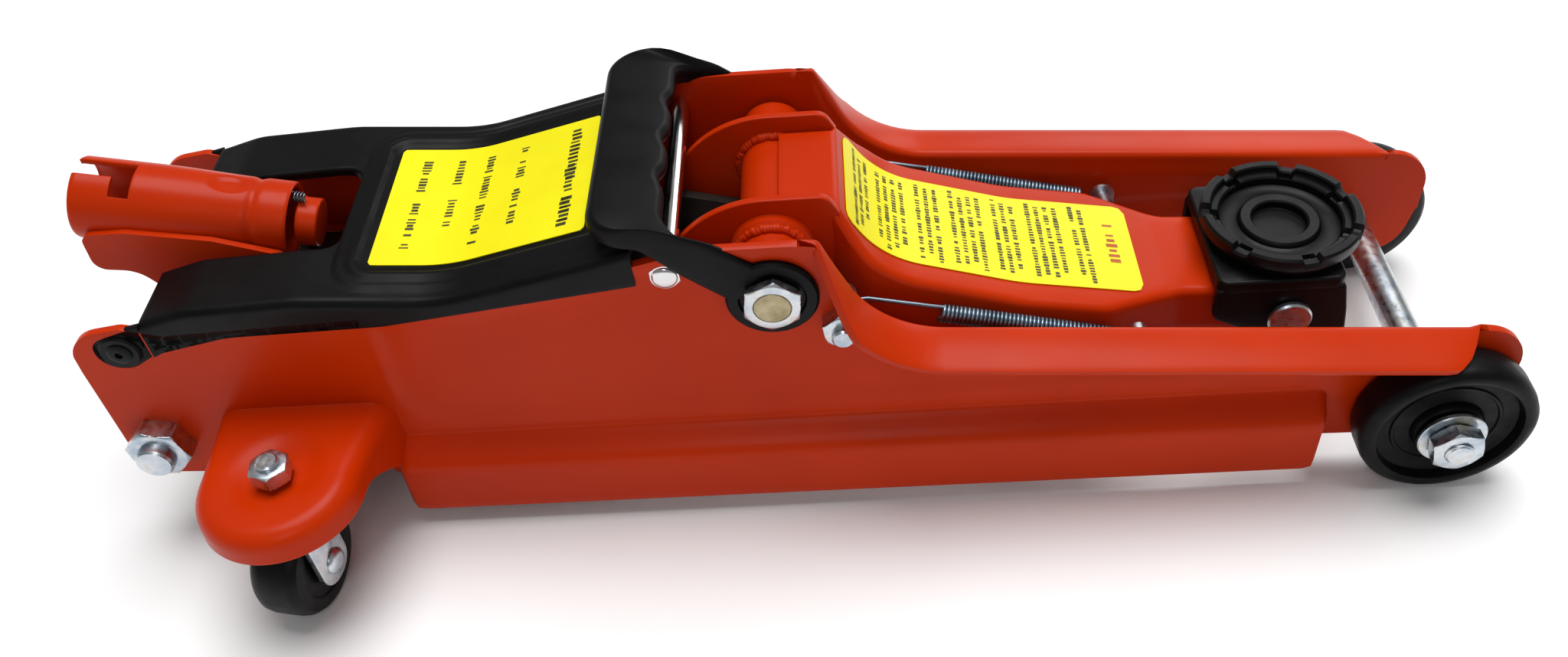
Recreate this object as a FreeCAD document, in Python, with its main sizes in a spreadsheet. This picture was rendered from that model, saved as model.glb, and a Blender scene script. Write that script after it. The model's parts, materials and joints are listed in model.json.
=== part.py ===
import FreeCAD, Part
import math
import os
import Sketcher

# Low-profile two-tonne hydraulic trolley jack, lowered, standing on the floor.
# Millimetres. X forward, Y to the left, Z up. The origin is on the floor, under the
# middle of the jack. Lengths along the frame are measured from the front axle.

doc = FreeCAD.newDocument("TrolleyJack")
sheet = doc.addObject("Spreadsheet::Sheet", "Sizes")
nodes = {}
vec = FreeCAD.Vector

SIZES = [
    ("axleX", 230.7), ("axleHeight", 31), ("axleRadius", 6), ("axleHalf", 77.5),
    ("wheelRadius", 31), ("wheelInner", 51), ("wheelOuter", 67.6),
    ("fit", 0.06), ("sheetThick", 3), ("webOut", 48.5), ("flangeWidth", 20),
    ("lipJog", 10), ("lipBottom", 10), ("lipTop", 29), ("lipRear", 386), ("lipFront", 38),
    ("pivotBack", 238.2), ("pivotHeight", 102.2), ("pivotRadius", 6),
    ("sleeveRadius", 12), ("sleeveHalf", 45.2), ("collarRadius", 15), ("collarOuter", 30),
    ("cheekOut", 25.5), ("armOut", 34), ("noseOut", 22), ("liftAngle", 65),
    ("crankRadius", 44), ("crankPinRadius", 8), ("lobeRadius", 42), ("lobeDrop", 21.2),
    ("saddleBack", 51.5), ("saddlePinHeight", 56), ("saddlePinRadius", 6),
    ("saddleTop", 84), ("saddleRadius", 29), ("saddleFloor", 77), ("stemRadius", 8),
    ("baseOut", 28), ("baseIn", 24), ("baseTop", 74), ("basePlateUnder", 68),
    ("linkForward", 15.5), ("linkDrop", 16), ("linkRadius", 3), ("linkPinRadius", 4),
    ("linkIn", 10), ("linkOut", 14), ("linkEyeRadius", 6.5),
    ("ramHeight", 62), ("ramRadius", 11), ("ramTail", 115), ("headHalf", 14),
    ("tankRadius", 31), ("tankRear", 392), ("tankFront", 292), ("tankWall", 3),
    ("boreOuter", 18), ("blockRear", 478), ("blockTop", 70),
    ("blockBottom", 26), ("blockHalf", 36),
    ("casterBack", 417), ("casterSide", 84), ("casterTrail", 6.5), ("casterTurn", 11),
    ("casterRadius", 21), ("casterHalf", 9.5), ("casterBolt", 4), ("forkThick", 2.5),
    ("earTop", 60), ("earRadius", 29.5), ("earRim", 9),
    ("socketFront", 415.5), ("socketFrontHeight", 106.4), ("socketLength", 75.4),
    ("socketTilt", 12.9), ("socketOuter", 15), ("socketBore", 12.9),
    ("socketPinBack", 424), ("socketPinHeight", 86), ("socketPinRadius", 5),
    ("plungerBack", 455), ("plungerRadius", 6), ("plungerTop", 86), ("plungerFoot", 48),
    ("rollerRadius", 6), ("rollerHeight", 92.3),
    ("springBoltBack", 215), ("springBoltHeight", 88), ("springSide", 39.8),
    ("springRadius", 4.5), ("springStudBack", 108), ("springStudHeight", 60),
    ("tieRodBack", 273.5), ("tieRodHeight", 113.5), ("tieRodRadius", 3.6),
    ("unitBoltBack", 473), ("unitBoltHeight", 46), ("unitBoltRadius", 7),
    ("coverOut", 51.5), ("coverWall", 2.5), ("slotHalf", 24), ("slotFront", 394.5), ("roofRear", 459),
    ("handleIn", 49), ("handleOut", 53), ("handleEye", 18.5), ("labelHalf", 33),
    ("labelThick", 0.4), ("spindleBack", 404),
]
for row, (alias, value) in enumerate(SIZES, start=1):
    sheet.set("A%d" % row, alias)
    sheet.set("B%d" % row, str(value))
    sheet.setAlias("B%d" % row, alias)
doc.recompute()


def size(alias):
    return float(sheet.get(alias))


def cell(expression):
    """Prefix every word of an expression with the sheet's name."""
    words = expression.replace("-", " - ").replace("+", " + ").replace("*", " * ").split()
    return " ".join("Sizes." + w if w[0].isalpha() else w for w in words)


def back(distance):
    """X of a place this far behind the front axle."""
    return size("axleX") - distance


def shifted(outline):
    """An outline given behind the axle (negative forward), moved into the part's frame."""
    return [(size("axleX") + c[0],) + tuple(c[1:]) for c in outline]


def register(label, item):
    item.Label = label
    nodes[label] = item
    return item


def cornerEdges(corners):
    """Lines and tangent arcs round a closed outline of (x, y[, radius]) corners."""
    points = [vec(c[0], c[1], 0) for c in corners]
    radii = [c[2] if len(c) > 2 else 0 for c in corners]
    count = len(points)
    starts, ends, arcs = [], [], []
    for i in range(count):
        toward = (points[i - 1] - points[i]).normalize()
        away = (points[(i + 1) % count] - points[i]).normalize()
        if radii[i] == 0:
            starts.append(points[i])
            ends.append(points[i])
            arcs.append(None)
            continue
        half = toward.getAngle(away) / 2
        reach = radii[i] / math.tan(half)
        middle = (toward + away).normalize()
        centre = points[i] + middle * (radii[i] / math.sin(half))
        starts.append(points[i] + toward * reach)
        ends.append(points[i] + away * reach)
        arcs.append(centre - middle * radii[i])
    edges = []
    for i in range(count):
        if arcs[i] is not None:
            edges.append(Part.Arc(starts[i], arcs[i], ends[i]))
        following = starts[(i + 1) % count]
        if (following - ends[i]).Length > 1e-6:
            edges.append(Part.LineSegment(ends[i], following))
    return edges


def draw(sketch, outline):
    """Add one closed outline, or one circle (x, y, radius cell), to a sketch."""
    if outline[0] == "circle":
        kind, x, y, radius = outline
        number = sketch.addGeometry(Part.Circle(vec(x, y, 0), vec(0, 0, 1), 3.0))
        constraint = sketch.addConstraint(Sketcher.Constraint("Radius", number, 3.0))
        sketch.setExpression("Constraints[%d]" % constraint, cell(radius))
        return
    for edge in cornerEdges(outline):
        sketch.addGeometry(edge)


def addSketch(body, role, outlines, offset=0.0):
    plane = [f for f in body.Origin.OriginFeatures if f.Role == role][0]
    sketch = body.newObject("Sketcher::SketchObject", "Sketch")
    sketch.AttachmentSupport = (plane, [""])
    sketch.MapMode = "FlatFace"
    sketch.AttachmentOffset = FreeCAD.Placement(vec(0, 0, offset), FreeCAD.Rotation())
    for outline in outlines:
        draw(sketch, outline)
    return sketch


def newBody(placement=None):
    body = doc.addObject("PartDesign::Body", "Body")
    if placement is not None:
        body.Placement = placement
    return body


def addFeature(body, kind, role, outlines, length, offset=0.0, reverse=False):
    """Pad or Pocket an outline; the length is an expression of sheet cells."""
    sketch = addSketch(body, role, outlines, offset)
    feature = body.newObject("PartDesign::" + kind, kind)
    feature.Profile = sketch
    feature.setExpression("Length", cell(length))
    feature.Reversed = reverse
    doc.recompute()
    body.Tip = feature
    return feature


def addPad(body, role, outlines, length, offset=0.0, reverse=False):
    return addFeature(body, "Pad", role, outlines, length, offset, reverse)


def addPocket(body, role, outlines, length, offset=0.0, reverse=False):
    before = body.Shape.Volume
    feature = addFeature(body, "Pocket", role, outlines, length, offset, reverse)
    if body.Shape.Volume >= before - 1e-6:
        raise ValueError("a pocket cut nothing in " + body.Name)
    return feature


# A sketch on XZ_Plane looks along +Y, so its pads grow towards -Y from Y = -offset.
def sideBody(outlines, thickness, nearY, side):
    """A plate standing along the frame: it starts at |Y| = nearY and grows outward."""
    body = newBody()
    addSidePad(body, outlines, thickness, nearY, side)
    return body


def addSidePad(body, outlines, thickness, nearY, side):
    addPad(body, "XZ_Plane", outlines, thickness, -side * nearY, side > 0)


def turned(profile, placement):
    """A solid turned about its own Z from corners of (radius, height)."""
    body = newBody(placement)
    sketch = addSketch(body, "XZ_Plane", [profile])
    spin = body.newObject("PartDesign::Revolution", "Revolution")
    spin.Profile = sketch
    spin.ReferenceAxis = (sketch, ["V_Axis"])
    spin.Angle = 360
    doc.recompute()
    body.Tip = spin
    return body


def along(axis, base):
    """Placement that turns a part's own Z to an axis and puts its foot at base."""
    return FreeCAD.Placement(vec(*base), FreeCAD.Rotation(vec(0, 0, 1), vec(*axis)))


def outward(x, z, side, start=0.0):
    """Placement across the frame: own Z points out on one side, starting at |Y| = start."""
    return along((0, side, 0), (x, side * start, z))


def cylinder(radius, length, placement):
    rod = doc.addObject("Part::Cylinder", "Cylinder")
    rod.setExpression("Radius", cell(radius))
    rod.setExpression("Height", cell(length))
    rod.Placement = placement
    return rod


def prism(acrossFlats, height, placement):
    six = doc.addObject("Part::Prism", "Prism")
    six.Polygon = 6
    six.Circumradius = acrossFlats / math.sqrt(3)
    six.Height = height
    six.Placement = placement
    return six


def cut(base, tool):
    result = doc.addObject("Part::Cut", "Cut")
    result.Base = base
    result.Tool = tool
    return result


def fuse(*shapes):
    result = doc.addObject("Part::MultiFuse", "Fuse")
    result.Shapes = list(shapes)
    return result


def group(*items):
    result = doc.addObject("Part::Compound", "Group")
    result.Links = list(items)
    return result


def nut(acrossFlats, height, boreRadius, placement):
    """Hex nut with its bore open to the running fit."""
    bore = cylinder(boreRadius, str(height), placement)
    return cut(prism(acrossFlats, height, placement), bore)


def offsetLine(points, distance):
    """An open run of (x, z, radius) corners moved to its right-hand side."""
    moved = []
    normals = []
    for a, b in zip(points, points[1:]):
        step = vec(b[0] - a[0], b[1] - a[1], 0).normalize()
        normals.append(vec(step.y, -step.x, 0))
    for i, p in enumerate(points):
        before = normals[max(i - 1, 0)]
        after = normals[min(i, len(normals) - 1)]
        mean = (before + after).normalize()
        shift = mean * (distance / mean.dot(after))
        turn = before.x * after.y - before.y * after.x
        radius = p[2] + math.copysign(distance, turn) if p[2] else 0
        moved.append((p[0] + shift.x, p[1] + shift.y, max(radius, 0)))
    return moved


def band(points, thickness):
    """Closed outline of a bent sheet whose upper line is given, rear to front."""
    return list(points) + offsetLine(points, thickness)[::-1]


# Named places, in the part's frame.
axleX = size("axleX")
axleZ = size("axleHeight")
pivotX, pivotZ = back(size("pivotBack")), size("pivotHeight")
saddleX, saddlePinZ = back(size("saddleBack")), size("saddlePinHeight")
halfLift = math.radians(90 + size("liftAngle") / 2)
crankX = pivotX + size("crankRadius") * math.cos(halfLift)
crankZ = pivotZ - size("crankRadius") * math.sin(halfLift)
linkRearX, linkRearZ = pivotX + size("linkForward"), pivotZ - size("linkDrop")
linkFrontX, linkFrontZ = saddleX + size("linkForward"), saddlePinZ - size("linkDrop")
sides = (("left", 1), ("right", -1))

# Frame ------------------------------------------------------------------------------
# The top line of a side plate, rear to front: low and level under the cover, up to the
# crest over the lift pivot, then a sweeping fall to the long flange.
flangeLine = [(-222, 123.5, 0), (-201.5, 83.5, 40), (7, 67.3, 0)]
webLine = [(-487.5, 98, 14), (-466, 105, 8), (-452, 101.5, 10), (-345, 103.5, 60), (-262, 124, 30)]
noseLine = [(24, 62, 9), (17, 8, 8), (-30, 8, 4), (-36, 37, 0)]
heelLine = [(-388, 37, 0), (-392, 27, 4), (-400, 27, 4), (-400, 50, 4), (-444, 50, 0),
            (-444, 25, 0), (-480, 25, 12), (-487.5, 46, 12)]


def webOutline():
    return shifted(webLine + flangeLine + noseLine + heelLine)


def earOutline(radius, reach, side):
    """Caster ear seen from above: straight flanks that end in a half round."""
    x, y = back(size("casterBack")), side * size("casterSide")
    foot = side * reach
    tip = y + side * radius
    return [(x - radius, foot), (x + radius, foot), (x + radius, tip, radius * 0.98),
            (x - radius, tip, radius * 0.98)]


def makeSidePlate(label, side):
    web, thick = size("webOut"), size("sheetThick")
    holes = [("circle", axleX, axleZ, "axleRadius+fit"), ("circle", pivotX, pivotZ, "pivotRadius+fit"),
             ("circle", back(size("tieRodBack")), size("tieRodHeight"), "tieRodRadius+fit"),
             ("circle", back(size("unitBoltBack")), size("unitBoltHeight"), "unitBoltRadius+fit"),
             ("circle", back(size("springBoltBack")), size("springBoltHeight"), "casterBolt+fit")]
    body = sideBody([webOutline()] + holes, "sheetThick", web - thick, side)
    addSidePad(body, [shifted(band(flangeLine, thick))], "flangeWidth", web - 0.5, side)
    jog, low, high = size("lipJog"), size("lipBottom"), size("lipTop")
    inner, outer = web - thick, web + jog
    lip = [(inner, high + jog), (web, high + jog), (outer, high), (outer, low), (outer - thick, low),
           (outer - thick, high - 1.5), (inner, high + jog - 4)]
    profile = [(side * y, z) for y, z in lip]
    addPad(body, "YZ_Plane", [profile], "lipRear-lipFront", back(size("lipRear")))
    top, rim = size("earTop"), size("earRim")
    addPad(body, "XY_Plane", [earOutline(size("earRadius"), web - 0.5, side)], "earRim+sheetThick",
           top - rim - thick)
    addPocket(body, "XY_Plane", [earOutline(size("earRadius") - thick, web + 2, side)], "earRim",
              top - thick, False)
    addPocket(body, "XY_Plane",
              [("circle", back(size("casterBack")), side * size("casterSide"), "casterBolt+fit")],
              "sheetThick*3", top + 1)
    return register(label, body)


for name, side in sides:
    makeSidePlate("side_plate_" + name, side)


# Front axle and wheels ----------------------------------------------------------------
def makeFrontEnd():
    shoulder, thread = size("axleRadius"), size("axleRadius") - 1
    half = size("axleHalf")
    profile = [(0, -half), (thread, -half), (thread, -70), (shoulder, -70), (shoulder, 70),
               (thread, 70), (thread, half), (0, half)]
    register("front_axle", turned(profile, along((0, 1, 0), (axleX, 0, axleZ))))
    washers, nuts = [], []
    for name, side in sides:
        inner, outer = size("wheelInner"), size("wheelOuter")
        width, radius = outer - inner, size("wheelRadius")
        bore = size("axleRadius") + size("fit")
        rim = [(bore, 0), (radius - 5, 0), (radius, 0, 3), (radius, width, 2.5), (radius - 5, width, 1),
               (radius - 7, width - 5, 1), (13, width - 5, 1), (12, width, 0), (bore, width)]
        register("front_wheel_" + name, turned(rim, outward(axleX, axleZ, side, inner)))
        at = outward(axleX, axleZ, side, size("webOut") + 0.1)
        washers.append(cut(cylinder("axleRadius+3", "2.2", at), cylinder("axleRadius+fit", "2.2", at)))
        at = outward(axleX, axleZ, side, outer + 0.2)
        washers.append(cut(cylinder("axleRadius*2", "2", at), cylinder("axleRadius+fit", "2", at)))
        nuts.append(nut(17, 6, "axleRadius-1+fit", outward(axleX, axleZ, side, 70.2)))
    register("front_axle_washers", group(*washers))
    register("front_axle_nuts", group(*nuts))


makeFrontEnd()


# Rear casters -------------------------------------------------------------------------
# Each is made about its own swivel axis, with its wheel trailing towards own -Y, and
# then turned: the jack stands as it was last rolled, wheels set outward.
def casterPlacement(side, height=0.0):
    angle = -size("casterTurn") if side < 0 else 180 + size("casterTurn")
    base = vec(back(size("casterBack")), side * size("casterSide"), height)
    return FreeCAD.Placement(base, FreeCAD.Rotation(vec(0, 0, 1), angle))


def makeCaster(name, side):
    half, thick = size("casterHalf") + 1.0, size("forkThick")
    trail, axle = -size("casterTrail"), size("casterRadius")
    roof = 49.5
    fork = newBody(casterPlacement(side))
    addPad(fork, "XY_Plane", [[(-half - thick, -17, 5), (half + thick, -17, 5), (half + thick, 14, 5),
                               (-half - thick, 14, 5)], ("circle", 0, 0, "casterBolt+fit")],
           "forkThick", roof - thick)
    cheek = [(trail - 9, roof), (trail + 16, roof), (trail + 9, axle + 8, 8), (trail + 9, axle - 9, 8),
             (trail - 9, axle - 9, 8)]
    for offset in (-half - thick, half):
        addPad(fork, "YZ_Plane", [cheek, ("circle", trail, axle, "casterBolt-1+fit")], "forkThick", offset)
    register("caster_fork_" + name, fork)
    radius, width = size("casterRadius"), 2 * size("casterHalf")
    rim = [(size("casterBolt") - 1 + size("fit"), 0), (radius - 4, 0, 0), (radius, 0.5, 3.5),
           (radius, width - 0.5, 3.5), (radius - 4, width, 0), (size("casterBolt") - 1 + size("fit"), width)]
    turn = casterPlacement(side)
    lying = turn.multiply(along((1, 0, 0), (-size("casterHalf"), trail, axle)))
    register("caster_wheel_" + name, turned(rim, lying))
    reach = half + thick
    pin = [(0, -reach - 2), (5, -reach - 2, 1.5), (5, -reach - 0.1), (size("casterBolt") - 1, -reach - 0.1),
           (size("casterBolt") - 1, reach + 0.1), (5, reach + 0.1), (5, reach + 2, 1.5), (0, reach + 2)]
    across = turn.multiply(along((1, 0, 0), (0, trail, axle)))
    register("caster_axle_" + name, turned(pin, across))
    neck = size("casterBolt")
    race = [(neck + size("fit"), roof + 0.2), (15, roof + 0.2), (13, 56.9), (neck + size("fit"), 56.9)]
    upright = casterPlacement(side)
    bolt = [(0, 43), (7, 43, 1), (7, roof - thick - 0.1), (neck, roof - thick - 0.1), (neck, 68.5, 1), (0, 68.5)]
    cap = nut(13, 6.4, "casterBolt+fit", casterPlacement(side, size("earTop") + 0.1))
    return turned(race, upright), turned(bolt, upright), cap


casterPairs = [makeCaster(name, side) for name, side in sides]
for label, pair in zip(("caster_races", "caster_bolts", "caster_nuts"), zip(*casterPairs)):
    register(label, group(*pair))


# Lift arm ------------------------------------------------------------------------------
armTop = [(-214.5, 116, 2), (-199, 89.5, 36), (-150, 74.5, 90), (-95, 66, 20), (-66, 64.5, 0)]


def armSideOutline():
    """Arm wall seen from the side: round crank lobe, swept top, straight belly, round nose."""
    pivot = -size("pivotBack")
    lobe, drop = size("lobeRadius"), size("lobeDrop")
    centre = pivotZ - drop
    nose = 10
    front = -size("saddleBack")
    return [(pivot - lobe, centre + lobe, lobe * 0.98), (-218, centre + lobe, 6)] + armTop[1:4] + [
        (front + nose, saddlePinZ + nose - 0.5, nose * 0.95), (front + nose, saddlePinZ - nose, nose * 0.95),
        (-70, 45, 10), (-192, 52, 30), (-200, centre - lobe, 20), (pivot - lobe, centre - lobe, lobe * 0.98)]


def makeCheek(name, side):
    thick = size("sheetThick")
    cheek, wide, nose = size("cheekOut"), size("armOut"), size("noseOut")
    run = [(-285, cheek), (-214, cheek), (-203, wide), (-118, wide), (-90, nose), (-38, nose)]
    inner = [(x, y - thick) for x, y in run]
    plan = shifted([(x, side * y) for x, y in run + inner[::-1]])
    body = newBody()
    addPad(body, "XY_Plane", [plan], "pivotHeight*2", 0)
    sideView = newBody()
    holes = [("circle", pivotX, pivotZ, "sleeveRadius"), ("circle", crankX, crankZ, "crankPinRadius"),
             ("circle", saddleX, saddlePinZ, "saddlePinRadius")]
    addPad(sideView, "XZ_Plane", [shifted(armSideOutline())] + holes, "armOut+1", 0, side > 0)
    both = doc.addObject("Part::Common", "Common")
    both.Base = body
    both.Tool = sideView
    register("arm_cheek_" + name, both)


for name, side in sides:
    makeCheek(name, side)


def makeArmTop():
    thick = size("sheetThick")
    inner = size("cheekOut") - thick - 0.05
    shelf = newBody()
    level = [(-235, 117, 0), (-216, 117, 0)] + [(x, z, r) for x, z, r in armTop[1:]]
    addPad(shelf, "XZ_Plane", [shifted(band(level, thick))], "armOut*2", -size("armOut"))
    wide, nose = size("armOut") - thick - 0.05, size("noseOut") - thick - 0.05
    half = [(-236, inner), (-213.7, inner), (-202.7, wide), (-118, wide), (-90, nose), (-66, nose)]
    plan = shifted([(x, -y) for x, y in half] + half[::-1])
    outline = newBody()
    addPad(outline, "XY_Plane", [plan], "pivotHeight*2", 0)
    both = doc.addObject("Part::Common", "Common")
    both.Base = shelf
    both.Tool = outline
    register("arm_top_plate", both)


makeArmTop()


def makeArmTubes():
    half = size("sleeveHalf")
    bore, tube, collar = size("pivotRadius") + size("fit"), size("sleeveRadius"), size("collarRadius")
    near, far = size("cheekOut"), size("collarOuter")
    profile = [(bore, -half), (tube, -half), (tube, -far), (collar, -far, 1), (collar, -near), (tube, -near),
               (tube, near), (collar, near), (collar, far, 1), (tube, far), (tube, half), (bore, half)]
    register("arm_pivot_sleeve", turned(profile, along((0, 1, 0), (pivotX, 0, pivotZ))))
    pinEnd = size("cheekOut")
    register("crank_pin", cylinder("crankPinRadius", "cheekOut*2", along((0, 1, 0), (crankX, -pinEnd, crankZ))))
    pinEnd = size("baseOut") + 3
    head = size("saddlePinRadius")
    profile = [(0, -pinEnd), (head + 2, -pinEnd, 1), (head + 2, -pinEnd + 2.6), (head, -pinEnd + 2.6),
               (head, pinEnd - 2.6), (head + 2, pinEnd - 2.6), (head + 2, pinEnd, 1), (0, pinEnd)]
    register("saddle_base_pin", turned(profile, along((0, 1, 0), (saddleX, 0, saddlePinZ))))
    studs = []
    for name, side in sides:
        at = outward(back(size("springStudBack")), size("springStudHeight"), side, size("armOut"))
        studs.append(turned([(0, 0), (3, 0), (3, 8), (5, 8), (5, 10, 0.8), (0, 10)], at))
    register("spring_studs", group(*studs))


makeArmTubes()


def makeArmLabel():
    upper = [(-211.5, 110.9, 0)] + [(x, z, r) for x, z, r in armTop[1:3]] + [(-104, 67.4, 0)]
    lifted = offsetLine(upper, -size("labelThick") - 0.1)
    body = newBody()
    width = size("armOut") - 10
    addPad(body, "XZ_Plane", [shifted(band(lifted, size("labelThick")))], "armOut*2-20", -width)
    register("arm_label", body)


makeArmLabel()


# Pivot shaft, tie rod and the bolts through the frame -------------------------------------
def makeCrossFasteners():
    end = size("handleOut") + 4.4
    register("pivot_shaft", turned([(0, -end), (6, -end, 0.8), (6, end, 0.8), (0, end)],
                                   along((0, 1, 0), (pivotX, 0, pivotZ))))
    nuts = [nut(19, 3.8, "pivotRadius+fit", outward(pivotX, pivotZ, side, size("handleOut") + 0.3))
            for name, side in sides]
    register("pivot_nuts", group(*nuts))
    rodX, rodZ, rodR = back(size("tieRodBack")), size("tieRodHeight"), size("tieRodRadius")
    end = size("webOut") + 1.5
    register("tie_rod", turned([(0, -end), (rodR, -end), (rodR, end), (0, end)], along((0, 1, 0), (rodX, 0, rodZ))))
    caps = []
    for name, side in sides:
        at = outward(rodX, rodZ, side, size("webOut") + 0.05)
        cap = fuse(prism(10, 2.6, at), turned([(0, 0), (4.6, 0), (4.6, 4.2, 2.5), (0, 4.2)], at))
        caps.append(cut(cap, cylinder("tieRodRadius+fit", "1.8", at)))
    register("tie_rod_nuts", group(*caps))
    unit = []
    anchors = []
    for name, side in sides:
        at = outward(back(size("unitBoltBack")), size("unitBoltHeight"), side, size("blockHalf") + 0.2)
        shank = [(0, 0), (7, 0), (7, 28, 1.2), (0, 28)]
        seat = size("webOut") - size("blockHalf")
        hexAt = outward(back(size("unitBoltBack")), size("unitBoltHeight"), side, size("webOut") + 0.05)
        unit.append(fuse(turned(shank, at), prism(21, 11, hexAt)))
        at = outward(back(size("springBoltBack")), size("springBoltHeight"), side, size("springSide") - 3.2)
        shank = [(0, 0), (5.5, 0), (5.5, 1.5), (4, 1.5), (4, 23.5, 1), (0, 23.5)]
        hexAt = outward(back(size("springBoltBack")), size("springBoltHeight"), side, size("webOut") + 0.05)
        anchors.append(fuse(turned(shank, at), prism(13, 9, hexAt)))
    register("unit_bolts", group(*unit))
    register("spring_bolts", group(*anchors))
    rivets = []
    for name, side in sides:
        at = outward(back(79), 20, side, size("webOut") + size("lipJog") + 0.02)
        rivets.append(turned([(0, 0), (4, 0), (4, 2, 1.8), (0, 2)], at))
    register("lip_rivets", group(*rivets))


makeCrossFasteners()


# Saddle and its level base -------------------------------------------------------------------
def makeSaddle():
    radius, top, floor = size("saddleRadius"), size("saddleTop"), size("saddleFloor")
    under = size("baseTop") + 0.1
    stem = size("stemRadius")
    foot = size("basePlateUnder") - 1
    profile = [(0, foot), (stem, foot, 1), (stem, under), (radius - 3, under), (radius, under + 3, 2), (radius, top, 1),
               (radius - 4, top, 1), (radius - 5, floor, 1), (15, floor), (15, floor + 2), (10, floor + 2),
               (10, floor - 1.5), (0, floor - 1.5)]
    body = turned(profile, along((0, 0, 1), (saddleX, 0, 0)))
    for step in range(7):
        angle = math.radians(20 + step * 360 / 7)
        dx, dy = math.cos(angle), math.sin(angle)
        ring, half, deep = radius - 2, 3, 5
        corners = [(ring + deep, -half), (ring + deep, half), (ring - deep, half), (ring - deep, -half)]
        notch = [(x * dx - y * dy, x * dy + y * dx) for x, y in corners]
        addPocket(body, "XY_Plane", [notch], "saddleTop-saddleFloor-4", top + 0.5)
    register("saddle", body)
    base = newBody()
    rear, front = saddleX - 27.5, saddleX + 18.5
    outer = size("baseOut")
    addPad(base, "XY_Plane", [[(rear, -outer, 2), (front, -outer, 2), (front, outer, 2), (rear, outer, 2)],
                              ("circle", saddleX, 0, "stemRadius+fit")], "baseTop-basePlateUnder",
           size("basePlateUnder"))
    cheek = [(rear, 71), (front, 71), (front + 2.5, 58, 8), (linkFrontX + 8, linkFrontZ, 6),
             (linkFrontX + 4, linkFrontZ - 7.5, 6), (linkFrontX - 6, linkFrontZ - 7.5, 6), (saddleX - 8, 46, 6),
             (rear, 56, 4)]
    holes = [("circle", saddleX, saddlePinZ, "saddlePinRadius+fit"),
             ("circle", linkFrontX, linkFrontZ, "linkPinRadius")]
    for name, side in sides:
        addSidePad(base, [cheek] + holes, "baseOut-baseIn", size("baseIn"), side)
    register("saddle_base", base)
    half = size("baseOut") + 1.5
    register("level_pin_front", cylinder("linkPinRadius", "baseOut*2+3", along((0, 1, 0), (linkFrontX, -half, linkFrontZ))))


makeSaddle()


# Levelling rods: they keep the saddle flat while the arm rises --------------------------------
def makeLevelling():
    rods = []
    run = vec(linkFrontX - linkRearX, 0, linkFrontZ - linkRearZ)
    eye = size("linkEyeRadius")
    middle = (size("linkIn") + size("linkOut")) / 2
    for name, side in sides:
        body = sideBody([[(linkRearX - eye, linkRearZ - eye, eye * 0.98), (linkRearX + eye, linkRearZ - eye, eye * 0.98),
                          (linkRearX + eye, linkRearZ + eye, eye * 0.98), (linkRearX - eye, linkRearZ + eye, eye * 0.98)],
                         ("circle", linkRearX, linkRearZ, "linkPinRadius+fit")], "linkOut-linkIn", size("linkIn"), side)
        front = sideBody([[(linkFrontX - eye, linkFrontZ - eye, eye * 0.98), (linkFrontX + eye, linkFrontZ - eye, eye * 0.98),
                           (linkFrontX + eye, linkFrontZ + eye, eye * 0.98),
                           (linkFrontX - eye, linkFrontZ + eye, eye * 0.98)],
                          ("circle", linkFrontX, linkFrontZ, "linkPinRadius+fit")], "linkOut-linkIn", size("linkIn"), side)
        unit = vec(run.x, 0, run.z).normalize()
        start = vec(linkRearX, side * middle, linkRearZ) + unit * (eye - 1)
        rod = cylinder("linkRadius", str(run.Length - 2 * eye + 2), along((unit.x, 0, unit.z), tuple(start)))
        rods.append(fuse(body, rod, front))
    register("levelling_rods", group(*rods))
    legs = []
    tip = eye + 0.5
    plate = [(back(287), 78, 0), (back(245), 79, 6), (linkRearX + tip, linkRearZ - tip, tip * 0.97),
             (linkRearX + tip, linkRearZ + tip, tip * 0.97), (linkRearX - 4, linkRearZ + tip, 3),
             (back(232), 88.6, 3), (back(252), 88.6, 6), (back(272), 94, 4), (back(287), 94, 0)]
    for name, side in sides:
        legs.append(sideBody([plate, ("circle", linkRearX, linkRearZ, "linkPinRadius")], "4", 15, side))
    collar = turned([(size("ramRadius") + size("fit"), 0), (size("tankRadius") + 2, 0, 1), (size("tankRadius") + 2, 6),
                     (size("ramRadius") + size("fit"), 6)], along((1, 0, 0), (back(size("tankFront")) + 0.02, 0, size("ramHeight"))))
    register("cylinder_head", fuse(collar, *legs))
    register("level_pin_rear", cylinder("linkPinRadius", "39", along((0, 1, 0), (linkRearX, -19.5, linkRearZ))))


makeLevelling()


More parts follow.
